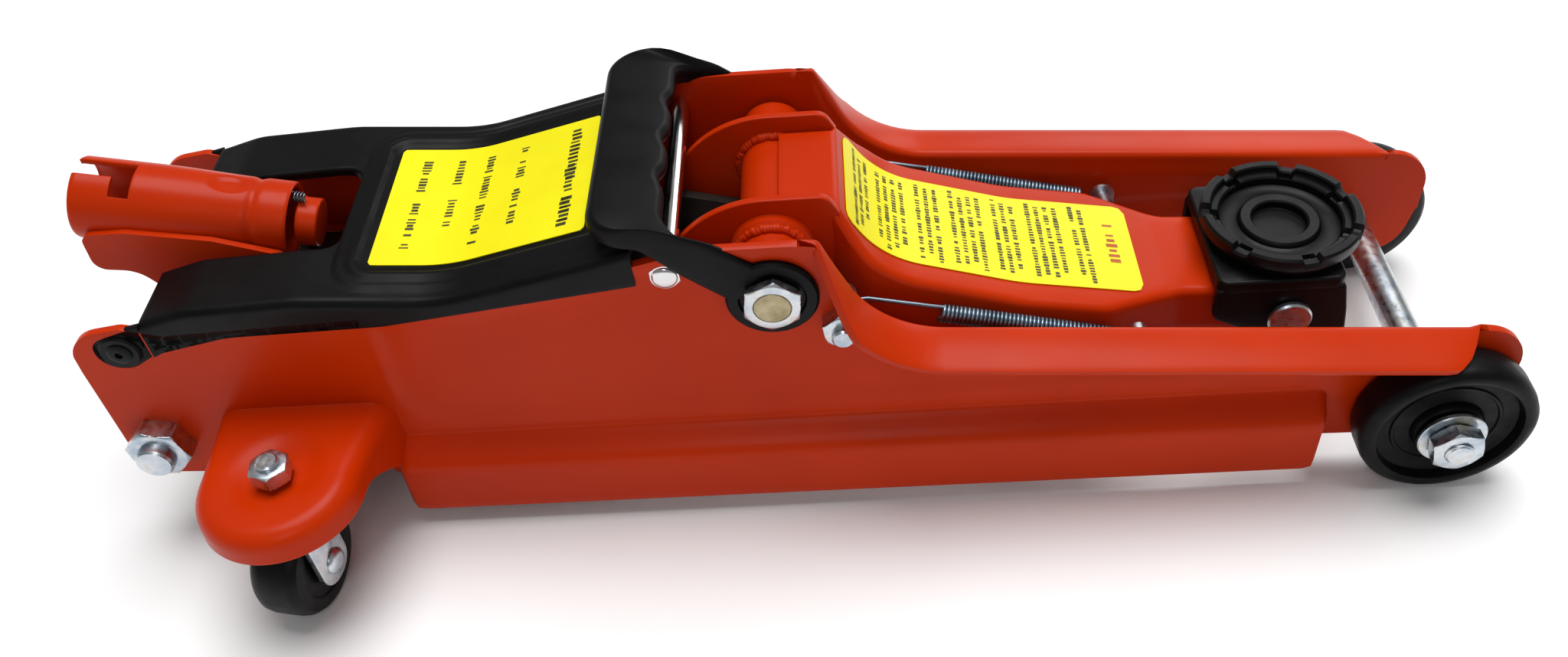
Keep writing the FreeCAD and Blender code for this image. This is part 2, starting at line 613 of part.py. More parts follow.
# Hydraulic unit -----------------------------------------------------------------------------
def makeUnit():
    ramZ = size("ramHeight")
    forward = (1, 0, 0)
    tankX, headX = back(size("tankRear")), back(size("tankFront"))
    length = headX - tankX
    wall, shell = size("tankWall"), size("tankRadius")
    at = along(forward, (tankX, 0, ramZ))
    register("reservoir", turned([(shell - wall, 0), (shell, 0), (shell, length), (shell - wall, length)], at))
    bore = size("boreOuter")
    register("ram_cylinder", turned([(bore - 4, 0), (bore, 0), (bore, length - 0.1), (bore - 4, length - 0.1)], at))
    block = newBody()
    rear, front = back(size("blockRear")), tankX - 0.1
    low, high, half = size("blockBottom"), size("blockTop"), size("blockHalf")
    addPad(block, "XZ_Plane", [[(rear, low, 6), (front, low, 2), (front, high, 2), (rear + 4, high, 8), (rear, high - 14, 6)]],
           "blockHalf*2", -half)
    pinX, pinZ = back(size("socketPinBack")), size("socketPinHeight")
    ears = [(pinX - 8, high - 1), (pinX + 8, high - 1), (pinX + 8, pinZ + 7, 7), (pinX - 8, pinZ + 7, 7)]
    for side in (1, -1):
        addSidePad(block, [ears, ("circle", pinX, pinZ, "socketPinRadius+fit")], "4", 7.5, side)
    plungerX = back(size("plungerBack"))
    addPocket(block, "XY_Plane", [("circle", plungerX, 0, "plungerRadius+fit")], "blockTop-plungerFoot+2", high + 1)
    spindleX = back(size("spindleBack"))
    addPocket(block, "XY_Plane", [("circle", spindleX, 0, "casterBolt+fit")], "20", high + 1)
    register("pump_block", block)
    at = along((0, 0, 1), (plungerX, 0, high + 0.1))
    register("pump_gland", turned([(6.06, 0), (9, 0), (9, 4), (6.06, 4)], at))
    foot, top = size("plungerFoot"), size("plungerTop")
    register("pump_plunger", turned([(0, foot), (6, foot), (6, top - 3), (8.5, top - 3), (8.5, top, 1), (0, top)],
                                    along((0, 0, 1), (plungerX, 0, 0))))
    register("pump_spring", turned([(6.4, high + 4.2), (8, high + 4.2), (8, top - 3.1), (6.4, top - 3.1)],
                                   along((0, 0, 1), (plungerX, 0, 0))))
    register("filler_plug", turned([(0, 0), (5, 0), (5, 4, 1), (0, 4)],
                                   along((0, 0, 1), (back(350), 0, ramZ + shell + 0.1))))
    register("release_spindle", turned([(0, 54), (4, 54), (4, 74), (6, 74), (6, 79, 1), (0, 79)],
                                       along((0, 0, 1), (spindleX, 0, 0))))


makeUnit()


def makeRam():
    ramZ, rod = size("ramHeight"), size("ramRadius")
    slot = size("crankPinRadius") + 0.7
    dip = size("crankRadius") * (1 - math.sin(halfLift))
    body = newBody()
    low, high = crankZ - dip - slot - 5.5, crankZ + slot + 4.5
    cheek = slot + 5
    eye = [(crankX - cheek, low, 4), (crankX + cheek, low, 4), (crankX + cheek, high, 4), (crankX - cheek, high, 4)]
    gap = [(crankX - slot, crankZ - dip - slot, slot * 0.98), (crankX + slot, crankZ - dip - slot, slot * 0.98),
           (crankX + slot, crankZ + slot, slot * 0.98), (crankX - slot, crankZ + slot, slot * 0.98)]
    addPad(body, "XZ_Plane", [eye, gap], "headHalf*2", -size("headHalf"))
    tail = crankX - cheek - size("ramTail")
    shank = turned([(0, 0), (13.9, 0), (13.9, 10), (rod, 10), (rod, size("ramTail") + 0.5), (0, size("ramTail") + 0.5)],
                   along((1, 0, 0), (tail, 0, ramZ)))
    register("ram", fuse(shank, body))


makeRam()


# Handle socket, yoke and release gear --------------------------------------------------------
tilt = math.radians(size("socketTilt"))
socketAxis = vec(-math.cos(tilt), 0, math.sin(tilt))
socketFoot = vec(back(size("socketFront")), 0, size("socketFrontHeight"))
pinX, pinZ = back(size("socketPinBack")), size("socketPinHeight")


def makeSocket():
    outer, bore, length = size("socketOuter"), size("socketBore"), size("socketLength")
    at = along(tuple(socketAxis), tuple(socketFoot))
    tube = turned([(bore, 0), (outer, 0), (outer, length, 0.8), (bore, length, 0.8)], at)
    register("handle_socket", tube)
    legs = []
    foot = [(pinX + 8, pinZ - 8, 7.5), (pinX + 8, 104, 4), (back(440), 113, 6), (back(470), 119, 6), (back(486), 119, 4),
            (back(487), 103, 5), (back(472), 101, 12), (back(461), 86, 4), (pinX - 8, pinZ - 8, 7.5)]
    rollerX, rollerZ = back(size("plungerBack")), size("rollerHeight")
    holes = [("circle", pinX, pinZ, "socketPinRadius"), ("circle", rollerX, rollerZ, "linkRadius")]
    for name, side in sides:
        legs.append(sideBody([foot] + holes, "2.5", outer + 0.05, side))
    register("socket_yoke", group(*legs))
    half = outer + 4
    register("socket_pin", cylinder("socketPinRadius", "socketOuter*2+8", along((0, 1, 0), (pinX, -half, pinZ))))
    journal, drum, wide = size("linkRadius"), size("rollerRadius"), size("linkIn")
    profile = [(0, -half), (journal, -half), (journal, -wide), (drum, -wide, 1), (drum, wide, 1), (journal, wide),
               (journal, half), (0, half)]
    register("pump_roller", turned(profile, along((0, 1, 0), (rollerX, 0, rollerZ))))
    cup = socketFoot - socketAxis * 9.5
    register("release_knuckle", turned([(0, 0), (9, 0, 1), (9, 8, 1), (5, 8), (5, 3), (0, 3)], along(tuple(socketAxis), tuple(cup))))
    up = vec(math.sin(tilt), 0, math.cos(tilt))
    coil = socketFoot - socketAxis * 7 + up * 12.2
    register("release_spring", turned([(1.4, 0), (2.8, 0), (2.8, 6.8), (1.4, 6.8)], along(tuple(socketAxis), tuple(coil))))


makeSocket()


# Carry handle ---------------------------------------------------------------------------------
def makeCarryHandle():
    eye = size("handleEye")
    arm = [(pivotX + eye, pivotZ - eye, eye * 0.97), (pivotX + eye, pivotZ + eye, eye * 0.9), (back(246), 119, 10),
           (back(270), 137, 6), (back(296), 137, 5), (back(298), 127.5, 3), (back(279), 128.5, 8), (pivotX - eye, 105.5, 4),
           (pivotX - eye, pivotZ - eye, eye * 0.97)]
    body = sideBody([arm, ("circle", pivotX, pivotZ, "pivotRadius+fit")], "handleOut-handleIn", size("handleIn"), 1)
    addSidePad(body, [arm, ("circle", pivotX, pivotZ, "pivotRadius+fit")], "handleOut-handleIn", size("handleIn"), -1)
    grip = [(back(295.5), 129, 3), (back(273.5), 129, 3), (back(273.5), 136.4, 3), (back(295), 136.4, 3)]
    addSidePad(body, [grip], "handleOut*2-2", -size("handleOut") + 1, 1)
    register("carry_handle", body)


makeCarryHandle()


# Cover and its label ----------------------------------------------------------------------------
coverTop = [(-479, 97.5, 0), (-466, 104.5, 10), (-440, 111.8, 30), (-400, 114.2, 60), (-338, 109.5, 60), (-300, 123.5, 50),
            (-283.5, 127, 0)]
coverLow = [(-283.5, 110.6, 3), (-374, 98.5, 60), (-455, 91, 8), (-469, 83, 8), (-479, 88, 7)]


def makeCover():
    out, wall = size("coverOut"), size("coverWall")
    body = newBody()
    addPad(body, "XZ_Plane", [shifted(coverTop + coverLow)], "coverOut*2", -out)
    roof = offsetLine(coverTop, wall)
    roof[0] = (-490, 94.5, 0)
    roof[-1] = (-275, roof[-1][1] + 2, 0)
    hollow = roof + [(-275, 70, 0), (-490, 70, 0)]
    addPocket(body, "XZ_Plane", [shifted(hollow)], "coverOut*2-coverWall*2", out - wall)
    half, front = size("slotHalf"), size("slotFront")
    for end, edge, radius in ((front, half, 8), (size("roofRear"), out - wall, 0)):
        opening = shifted([(-500, -edge, 0), (-end, -edge, radius), (-end, edge, radius), (-500, edge, 0)])
        addPocket(body, "XY_Plane", [opening], "coverOut", 130)
    register("cover", body)
    screws = []
    for name, side in sides:
        at = outward(back(469), 92, side, out + 0.02)
        screws.append(turned([(0, 0), (5, 0), (5, 1.6, 1.2), (0, 1.6)], at))
    register("cover_screws", group(*screws))
    strip = offsetLine([(-380, 112.5, 0)] + coverTop[4:5] + [(-301, 123.1, 0)], -1.0)
    label = newBody()
    addPad(label, "XZ_Plane", [shifted(band(strip, size("labelThick")))], "labelHalf*2", -size("labelHalf"))
    register("cover_label", label)


makeCover()


# Return springs: closed coils that stretch as the arm rises ------------------------------------------
# A coil can't stretch here, so its front hook slides out of it on a core. The hook is an
# open J, because the stud leaves the coil's line a little half-way up.
def makeReturnSprings():
    boltX, boltZ = back(size("springBoltBack")), size("springBoltHeight")
    studX, studZ = back(size("springStudBack")), size("springStudHeight")
    run = vec(studX - boltX, 0, studZ - boltZ)
    unit = vec(run.x, 0, run.z).normalize()
    axis = (unit.x, 0, unit.z)
    upward = vec(-unit.z, 0, unit.x)
    radius, wire, hook = size("springRadius"), 1.6, 9
    length = run.Length - 2 * hook - 1
    bore = radius - wire + 0.1
    pin = 3 + size("fit")
    outer = pin + wire

    def local(t, n, *corner):
        """A corner given along and across the spring, from the stud's centre."""
        return (studX + unit.x * t + upward.x * n, studZ + unit.z * t + upward.z * n) + corner

    bend = [local(-hook, -outer), local(outer, -outer, outer * 0.98), local(outer, 1.5), local(pin, 1.5),
            local(pin, -pin, pin * 0.98), local(-hook, -pin)]
    for name, side in sides:
        y = side * size("springSide")
        bolt, stud = vec(boltX, y, boltZ), vec(studX, y, studZ)
        start = bolt + unit * hook
        coil = turned([(bore, 0), (radius, 0), (radius, length), (bore, length)], along(axis, tuple(start)))
        eye = sideBody([("circle", boltX, boltZ, "casterBolt+1.6"), ("circle", boltX, boltZ, "casterBolt+fit")],
                       "1.6", size("springSide") - 0.8, side)
        shank = cylinder("0.8", str(hook - 4.2), along(axis, tuple(bolt + unit * 4.9)))
        collar = turned([(0, 0), (radius, 0), (radius, 1), (0, 1)], along(axis, tuple(start - unit * 0.5)))
        register("return_spring_" + name, fuse(coil, eye, shank, collar))
        front = sideBody([bend], "1.6", size("springSide") - 0.8, side)
        disc = cylinder(str(radius), "1.2", along(axis, tuple(stud - unit * (hook + 0.7))))
        core = cylinder("1.2", "34", along(axis, tuple(stud - unit * (hook + 34))))
        register("spring_hook_" + name, fuse(front, disc, core))


makeReturnSprings()

# Check and write ----------------------------------------------------------------------------------------
doc.recompute()
for item in doc.Objects:
    if "Invalid" in item.State or "Error" in item.State:
        raise RuntimeError("failed: " + item.Label + " " + str(item.State))
os.makedirs("parts", exist_ok=True)
for label, item in sorted(nodes.items()):
    shape = item.Shape
    if shape.isNull() or not shape.isValid() or shape.Volume <= 0:
        raise RuntimeError("bad shape: " + label)
    shape.exportStep("parts/" + label + ".step")
    print("%-22s solids %d volume %9.1f" % (label, len(shape.Solids), shape.Volume))
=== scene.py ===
import bpy
import bmesh
import json
import math
from mathutils import Matrix, Vector, noise


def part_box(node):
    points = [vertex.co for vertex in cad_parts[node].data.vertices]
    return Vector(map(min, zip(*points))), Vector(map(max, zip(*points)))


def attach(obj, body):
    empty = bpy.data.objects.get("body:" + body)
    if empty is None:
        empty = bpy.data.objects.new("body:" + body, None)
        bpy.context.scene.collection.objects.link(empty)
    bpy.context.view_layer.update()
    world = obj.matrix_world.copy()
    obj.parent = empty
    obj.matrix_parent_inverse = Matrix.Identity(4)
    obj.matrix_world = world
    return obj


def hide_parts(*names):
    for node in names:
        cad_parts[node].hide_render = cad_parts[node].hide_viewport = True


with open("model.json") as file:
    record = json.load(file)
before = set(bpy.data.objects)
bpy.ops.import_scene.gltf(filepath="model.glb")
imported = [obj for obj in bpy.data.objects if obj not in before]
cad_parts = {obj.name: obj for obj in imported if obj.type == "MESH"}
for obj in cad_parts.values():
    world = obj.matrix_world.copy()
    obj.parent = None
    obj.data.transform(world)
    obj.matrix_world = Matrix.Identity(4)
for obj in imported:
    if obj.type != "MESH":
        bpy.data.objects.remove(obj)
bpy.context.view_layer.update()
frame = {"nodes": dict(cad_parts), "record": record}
scene = bpy.context.scene
scene.view_settings.view_transform = "Standard"
print("stage: frame loaded,", len(frame["nodes"]), "nodes")


# Lengths below are millimetres. Along the jack they are counted forward from the front
# axle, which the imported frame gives, and heights are counted from the floor.
def middle(node):
    low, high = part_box(node)
    return (low + high) * 500


axle = middle("front_axle")


def at(u, y, z):
    return Vector((axle.x + u, y, z))


# Mesh helpers ---------------------------------------------------------------------------------
def softRun(corners, closed=False, steps=8):
    points = [Vector(c[:2]) for c in corners]
    radii = [c[2] if len(c) > 2 else 0 for c in corners]
    run = []
    for i, corner in enumerate(points):
        ends = not closed and i in (0, len(points) - 1)
        if ends or radii[i] == 0:
            run.append(corner)
            continue
        back = (points[i - 1] - corner).normalized()
        ahead = (points[(i + 1) % len(points)] - corner).normalized()
        half = back.angle(ahead) / 2
        start = corner + back * (radii[i] / math.tan(half))
        centre = corner + (back + ahead).normalized() * (radii[i] / math.sin(half))
        turn = math.pi - 2 * half
        if back.x * ahead.y - back.y * ahead.x > 0:
            turn = -turn
        spoke = start - centre
        for k in range(steps + 1):
            angle = turn * k / steps
            c, s = math.cos(angle), math.sin(angle)
            run.append(centre + Vector((spoke.x * c - spoke.y * s, spoke.x * s + spoke.y * c)))
    return run


def evenRun(run, step):
    """The same run with points added so that no gap is longer than step."""
    dense = [run[0]]
    for a, b in zip(run, run[1:]):
        count = max(1, math.ceil((b - a).length / step))
        dense += [a.lerp(b, k / count) for k in range(1, count + 1)]
    return dense


def heightAt(run, u):
    """Height of a run whose first coordinate only grows."""
    if u <= run[0].x:
        return run[0].y
    for a, b in zip(run, run[1:]):
        if a.x <= u <= b.x and b.x > a.x:
            return a.y + (b.y - a.y) * (u - a.x) / (b.x - a.x)
    return run[-1].y


def smooth(value):
    value = min(max(value, 0.0), 1.0)
    return value * value * (3 - 2 * value)


def rawMesh(name, verts, faces):
    mesh = bpy.data.meshes.new(name)
    mesh.from_pydata([Vector(v) * 0.001 for v in verts], [], faces)
    piece = bpy.data.objects.new(name, mesh)
    scene.collection.objects.link(piece)
    return piece


def tidy(piece, closed=True):
    """Merge doubles, close any holes left and point the faces outwards."""
    work = bmesh.new()
    work.from_mesh(piece.data)
    bmesh.ops.remove_doubles(work, verts=work.verts, dist=2e-6)
    if closed:
        rims = [e for e in work.edges if e.is_boundary]
        if rims:
            bmesh.ops.holes_fill(work, edges=rims, sides=0)
        bmesh.ops.recalc_face_normals(work, faces=work.faces)
    work.to_mesh(piece.data)
    work.free()
    return piece


def gridPiece(name, rows, flip=False, loop=False, closed=True):
    """A mesh from rows of points; loop joins each row's end to its start."""
    width = len(rows[0])
    verts = [p for row in rows for p in row]
    faces = []
    for i in range(len(rows) - 1):
        for j in range(width if loop else width - 1):
            k = (j + 1) % width
            face = (i * width + j, (i + 1) * width + j, (i + 1) * width + k, i * width + k)
            faces.append(face[::-1] if flip else face)
    return tidy(rawMesh(name, verts, faces), closed)


def settle(piece):
    """Bake a piece's modifiers into a plain mesh."""
    bpy.context.view_layer.update()
    graph = bpy.context.evaluated_depsgraph_get()
    mesh = bpy.data.meshes.new_from_object(piece.evaluated_get(graph))
    piece.modifiers.clear()
    piece.data = mesh
    return piece


def thicken(piece, wall, bevel=0.0):
    """Give an open sheet its wall, inwards, and ease its rim."""
    solid = piece.modifiers.new("wall", "SOLIDIFY")
    solid.thickness = wall * 0.001
    solid.offset = -1
    if bevel:
        ease(piece, bevel)
    return settle(piece)


def ease(piece, width, angle=50, segments=2):
    bevel = piece.modifiers.new("ease", "BEVEL")
    bevel.width = width * 0.001
    bevel.segments = segments
    bevel.limit_method = "ANGLE"
    bevel.angle_limit = math.radians(angle)
    bevel.harden_normals = False


def frameOf(base, axis, turn=0.0):
    """Matrix that puts own Z along axis and the origin at base, in millimetres."""
    rotation = Vector((0, 0, 1)).rotation_difference(Vector(axis)).to_matrix().to_4x4()
    return Matrix.Translation(base) @ rotation @ Matrix.Rotation(math.radians(turn), 4, "Z")


def lathe(name, profile, matrix, segments=64, radiusAt=None):
    """Turn a run of (radius, height) about own Z; radiusAt may reshape it by angle."""
    rows = []
    for point in profile:
        row = []
        for k in range(segments):
            angle = math.tau * k / segments
            radius, height = point[0], point[1]
            if radiusAt:
                radius, height = radiusAt(angle, radius, height)
            row.append(matrix @ Vector((radius * math.cos(angle), radius * math.sin(angle), height)))
        rows.append(row)
    return gridPiece(name, rows, loop=True)


def hexPiece(name, flats, height, matrix, bore=0.0):
    """Hexagon with the rounded corners that a turned chamfer leaves on it."""
    inner = flats / 2 * 0.97
    reach = (flats / math.sqrt(3) - inner) * 0.5
    heights = [0.0, reach / 2, reach] + [height - reach * k / 5 for k in range(5, -1, -1)]

    def corner(angle, radius, level):
        six = flats / 2 / math.cos((angle + math.pi / 6) % (math.pi / 3) - math.pi / 6)
        if radius < inner:
            return radius, level
        gap = min(level, height - level)
        return min(six, inner + gap * 2), level

    start = bore if bore else 0.01
    profile = [(start, 0.0)] + [(flats, h) for h in heights] + [(start, height)]
    if bore:
        profile.append((start, 0.0))
    return lathe(name, profile, matrix, 72, corner)


def flatPiece(name, outlines, thick, bevel, toPlace, steps=8):
    """A plate cut to closed outlines, holes included, with its edges eased.
    toPlace turns (across, up, depth) into a place; depth runs from 0 to thick."""
    curve = bpy.data.curves.new(name, "CURVE")
    curve.dimensions = "2D"
    curve.fill_mode = "BOTH"
    curve.extrude = (thick / 2 - bevel) * 0.001
    curve.bevel_depth = bevel * 0.001
    curve.bevel_resolution = 2
    curve.offset = -bevel * 0.001
    for outline in outlines:
        run = softRun(outline, True, steps) if len(outline[0]) == 3 or len(outline) < 40 else outline
        spline = curve.splines.new("POLY")
        spline.points.add(len(run) - 1)
        for point, target in zip(run, spline.points):
            target.co = (point[0] * 0.001, point[1] * 0.001, 0, 1)
        spline.use_cyclic_u = True
    piece = bpy.data.objects.new(name, curve)
    scene.collection.objects.link(piece)
    bpy.context.view_layer.update()
    graph = bpy.context.evaluated_depsgraph_get()
    mesh = bpy.data.meshes.new_from_object(piece.evaluated_get(graph))
    bpy.data.objects.remove(piece)
    for vertex in mesh.vertices:
        x, y, z = vertex.co * 1000
        vertex.co = toPlace(x, y, z + thick / 2) * 0.001
    plate = bpy.data.objects.new(name, mesh)
    scene.collection.objects.link(plate)
    return tidy(plate)


def ring(u, z, radius, count=40):
    """A round hole or disc outline."""
    return [(u + radius * math.cos(math.tau * k / count), z + radius * math.sin(math.tau * k / count))
            for k in range(count)]


def joined(name, pieces):
    """Several meshes as one piece."""
    work = bmesh.new()
    for piece in pieces:
        work.from_mesh(piece.data)
    for piece in pieces:
        bpy.data.objects.remove(piece)
    mesh = bpy.data.meshes.new(name)
    work.to_mesh(mesh)
    work.free()
    whole = bpy.data.objects.new(name, mesh)
    scene.collection.objects.link(whole)
    return whole


# Materials ------------------------------------------------------------------------------------
def srgb(text):
    channels = [int(text[i:i + 2], 16) / 255 for i in (1, 3, 5)]
    return tuple(c / 12.92 if c <= 0.04045 else ((c + 0.055) / 1.055) ** 2.4 for c in channels) + (1.0,)


def addNode(tree, kind, inputs=None, **settings):
    node = tree.nodes.new(kind)
    for key, value in settings.items():
        setattr(node, key, value)
    for key, value in (inputs or {}).items():
        if isinstance(value, tuple) and isinstance(value[0], bpy.types.Node):
            tree.links.new(value[0].outputs[value[1]], node.inputs[key])
        else:
            node.inputs[key].default_value = value
    return node


def ramp(tree, source, stops):
    """Colour ramp from (position, sRGB text) stops."""
    node = addNode(tree, "ShaderNodeValToRGB", {0: source})
    elements = node.color_ramp.elements
    while len(elements) < len(stops):
        elements.new(0.5)
    for element, (position, text) in zip(elements, stops):
        element.position = position
        element.color = srgb(text)
    return node


def newMaterial(name, **sockets):
    material = bpy.data.materials.new(name)
    material.use_nodes = True
    tree = material.node_tree
    shader = tree.nodes["Principled BSDF"]
    for key, value in sockets.items():
        shader.inputs[key.replace("_", " ")].default_value = value
    where = addNode(tree, "ShaderNodeTexCoord")
    return material, tree, shader, (where, "Object")


def speckled(name, look):
    """A finish with broad colour drift, a fine surface grain and uneven gloss."""
    material, tree, shader, where = newMaterial(name, **look["sockets"])
    drift = addNode(tree, "ShaderNodeTexNoise", {"Vector": where, "Scale": 1 / (look["driftSize"] * 0.001),
                                                 "Detail": 3.0, "Roughness": 0.55})
    tint = ramp(tree, (drift, "Fac"), look["tints"])
    tree.links.new(tint.outputs["Color"], shader.inputs["Base Color"])
    wear = addNode(tree, "ShaderNodeTexNoise", {"Vector": where, "Scale": 1 / (look["wearSize"] * 0.001),
                                                "Detail": 4.0, "Roughness": 0.6})
    low, high = look["roughness"]
    gloss = addNode(tree, "ShaderNodeMapRange", {"Value": (wear, "Fac"), "From Min": 0.3, "From Max": 0.7,
                                                 "To Min": low, "To Max": high})
    tree.links.new(gloss.outputs["Result"], shader.inputs["Roughness"])
    grain = addNode(tree, "ShaderNodeTexNoise", {"Vector": where, "Scale": 1 / (look["grainSize"] * 0.001),
                                                 "Detail": 2.0, "Roughness": 0.5})
    bump = addNode(tree, "ShaderNodeBump", {"Height": (grain, "Fac"), "Strength": look["grainStrength"],
                                            "Distance": look["grainDepth"] * 0.001})
    tree.links.new(bump.outputs["Normal"], shader.inputs["Normal"])
    return material


finishes = {
    # Gloss enamel sprayed on pressed steel: deep orange-red, faint orange peel, clear highlights.
    "orangeEnamel": {"sockets": {"Metallic": 0.0, "Specular_IOR_Level": 0.1, "Coat_Weight": 0.05,
                                 "Coat_Roughness": 0.2},
                     "driftSize": 90, "tints": [(0.32, "#B92B00"), (0.68, "#C53200")],
                     "wearSize": 26, "roughness": (0.30, 0.42),
                     "grainSize": 2.4, "grainStrength": 0.10, "grainDepth": 0.10},
    # Moulded ABS with a spark-eroded mould: near black, soft broken highlights.
    "blackAbs": {"sockets": {"Metallic": 0.0, "Specular_IOR_Level": 0.14},
                 "driftSize": 60, "tints": [(0.3, "#040405"), (0.7, "#09090A")],
                 "wearSize": 18, "roughness": (0.36, 0.52),
                 "grainSize": 0.6, "grainStrength": 0.25, "grainDepth": 0.06},
    # Nylon wheels: black, a little waxy, scuffed where they roll.
    "blackNylon": {"sockets": {"Metallic": 0.0, "Specular_IOR_Level": 0.16},
                   "driftSize": 24, "tints": [(0.3, "#040405"), (0.7, "#0A0A0B")],
                   "wearSize": 7, "roughness": (0.34, 0.55),
                   "grainSize": 1.1, "grainStrength": 0.2, "grainDepth": 0.05},
    # Ductile iron painted black: the sand mould's grain shows through the paint.
    "blackCasting": {"sockets": {"Metallic": 0.0, "Specular_IOR_Level": 0.16, "Coat_Weight": 0.05,
                                 "Coat_Roughness": 0.3},
                     "driftSize": 30, "tints": [(0.3, "#060607"), (0.7, "#0D0D0E")],
                     "wearSize": 9, "roughness": (0.34, 0.5),
                     "grainSize": 1.6, "grainStrength": 0.45, "grainDepth": 0.12},
    # Bright zinc plate, clear passivated: cool grey with a bluish to straw bloom.
    "zincPlate": {"sockets": {"Metallic": 1.0},
                  "driftSize": 9, "tints": [(0.3, "#A9B6C4"), (0.55, "#D3D8DC"), (0.75, "#C9C3B4")],
                  "wearSize": 3, "roughness": (0.22, 0.40),
                  "grainSize": 0.7, "grainStrength": 0.25, "grainDepth": 0.05},
    # Yellow passivated end of the pivot shaft: a straw colour, sawn and faced.
    "strawZinc": {"sockets": {"Metallic": 1.0},
                  "driftSize": 6, "tints": [(0.3, "#8F8566"), (0.7, "#B6AB8B")],
                  "wearSize": 2, "roughness": (0.34, 0.5),
                  "grainSize": 0.8, "grainStrength": 0.3, "grainDepth": 0.08},
    # Spring steel, zinc plated over a drawn black wire: blue grey.
    "springSteel": {"sockets": {"Metallic": 1.0},
                    "driftSize": 12, "tints": [(0.3, "#5C6B78"), (0.7, "#8796A3")],
                    "wearSize": 3, "roughness": (0.28, 0.42),
                    "grainSize": 0.5, "grainStrength": 0.2, "grainDepth": 0.03},
    # Ground and chromed bar: mirror-like, faint grinding marks.
    "chromedBar": {"sockets": {"Metallic": 1.0},
                   "driftSize": 30, "tints": [(0.3, "#CFCFD1"), (0.7, "#E4E3E2")],
                   "wearSize": 12, "roughness": (0.10, 0.20),
                   "grainSize": 0.4, "grainStrength": 0.1, "grainDepth": 0.02},
    # Machined steel under a film of oil: dark, half dull.
    "oiledSteel": {"sockets": {"Metallic": 0.9},
                   "driftSize": 30, "tints": [(0.3, "#34302C"), (0.7, "#4A4641")],
                   "wearSize": 8, "roughness": (0.38, 0.58),
                   "grainSize": 0.9, "grainStrength": 0.3, "grainDepth": 0.05},
    # Printed vinyl: clean yellow under a clear laminate.
    "yellowVinyl": {"sockets": {"Metallic": 0.0, "Specular_IOR_Level": 0.25, "Coat_Weight": 0.1,
                                "Coat_Roughness": 0.25},
                    "driftSize": 40, "tints": [(0.3, "#F0E400"), (0.7, "#F8EE06")],
                    "wearSize": 10, "roughness": (0.38, 0.48),
                    "grainSize": 1.5, "grainStrength": 0.08, "grainDepth": 0.03},
    # Screen-printed ink, flat and slightly uneven.
    "darkInk": {"sockets": {"Metallic": 0.0},
                "driftSize": 2, "tints": [(0.3, "#4A4712"), (0.7, "#2C2B14")],
                "wearSize": 2, "roughness": (0.45, 0.6),
                "grainSize": 0.5, "grainStrength": 0.1, "grainDepth": 0.01},
    "orangeInk": {"sockets": {"Metallic": 0.0},
                  "driftSize": 2, "tints": [(0.3, "#C8641A"), (0.7, "#A94E12")],
                  "wearSize": 2, "roughness": (0.45, 0.6),
                  "grainSize": 0.5, "grainStrength": 0.1, "grainDepth": 0.01},
}
finish = {name: speckled(name, look) for name, look in finishes.items()}
print("stage: materials made")


slotFinish = {"red_paint": "orangeEnamel", "black_paint": "blackCasting", "black_plastic": "blackAbs",
              "black_nylon": "blackNylon", "yellow_label": "yellowVinyl", "zinc": "zincPlate",
              "spring_steel": "springSteel", "bright_chrome": "chromedBar", "dark_steel": "oiledSteel"}
bodyOf = {node: body for body, members in frame["record"]["behaviour"]["bodies"].items() for node in members}
slotOf = {part["node"]: part["material_slot"] for part in frame["record"]["subparts"]}


def dress(piece, nodes, slot=None, body=None, material=None, angle=38):
    """Finish a piece: smooth faces, its finish, and the CAD nodes that it stands for. Unless
    told otherwise it takes its body and its slot from the first of them."""
    slot = slot or slotOf[nodes[0]]
    piece.data.materials.clear()
    piece.data.materials.append(finish[material or slotFinish[slot]])
    for polygon in piece.data.polygons:
        polygon.use_smooth = True
        polygon.material_index = 0
    piece.data.set_sharp_from_angle(angle=math.radians(angle))
    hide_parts(*nodes)
    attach(piece, body or bodyOf[nodes[0]])
    return piece


def extra(piece, body, slot, material=None, angle=38):
    """Finish a piece of trim that stands for no CAD node of its own."""
    piece.data.materials.clear()
    piece.data.materials.append(finish[material or slotFinish[slot]])
    for polygon in piece.data.polygons:
        polygon.use_smooth = True
    piece.data.set_sharp_from_angle(angle=math.radians(angle))
    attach(piece, body)
    return piece


for name, node in frame["nodes"].items():
    node.data.materials.clear()
    node.data.materials.append(finish[slotFinish[slotOf[name]]])

# Camera, floor and light ----------------------------------------------------------------------
shot = {"u": -211.2, "y": -378.4, "z": 411.2, "turn": -0.07395, "dip": 0.78003, "roll": 0.10631,
        "lens": 30.53}


def makeCamera():
    turn, dip, roll = shot["turn"], shot["dip"], shot["roll"]
    forward = Vector((math.sin(turn) * math.cos(dip), math.cos(turn) * math.cos(dip), -math.sin(dip)))
    level = Vector((math.cos(turn), -math.sin(turn), 0))
    down = forward.cross(level)
    right = level * math.cos(roll) + down * math.sin(roll)
    up = level * math.sin(roll) - down * math.cos(roll)
    lens = bpy.data.cameras.new("camera")
    lens.lens = shot["lens"]
    lens.sensor_width = 36
    lens.sensor_fit = "HORIZONTAL"
    lens.clip_start = 0.01
    lens.dof.use_dof = False
    camera = bpy.data.objects.new("camera", lens)
    turned = Matrix((right, up, -forward)).transposed().to_4x4()
    camera.matrix_world = Matrix.Translation(at(shot["u"], shot["y"], shot["z"]) * 0.001) @ turned
    scene.collection.objects.link(camera)
    scene.camera = camera


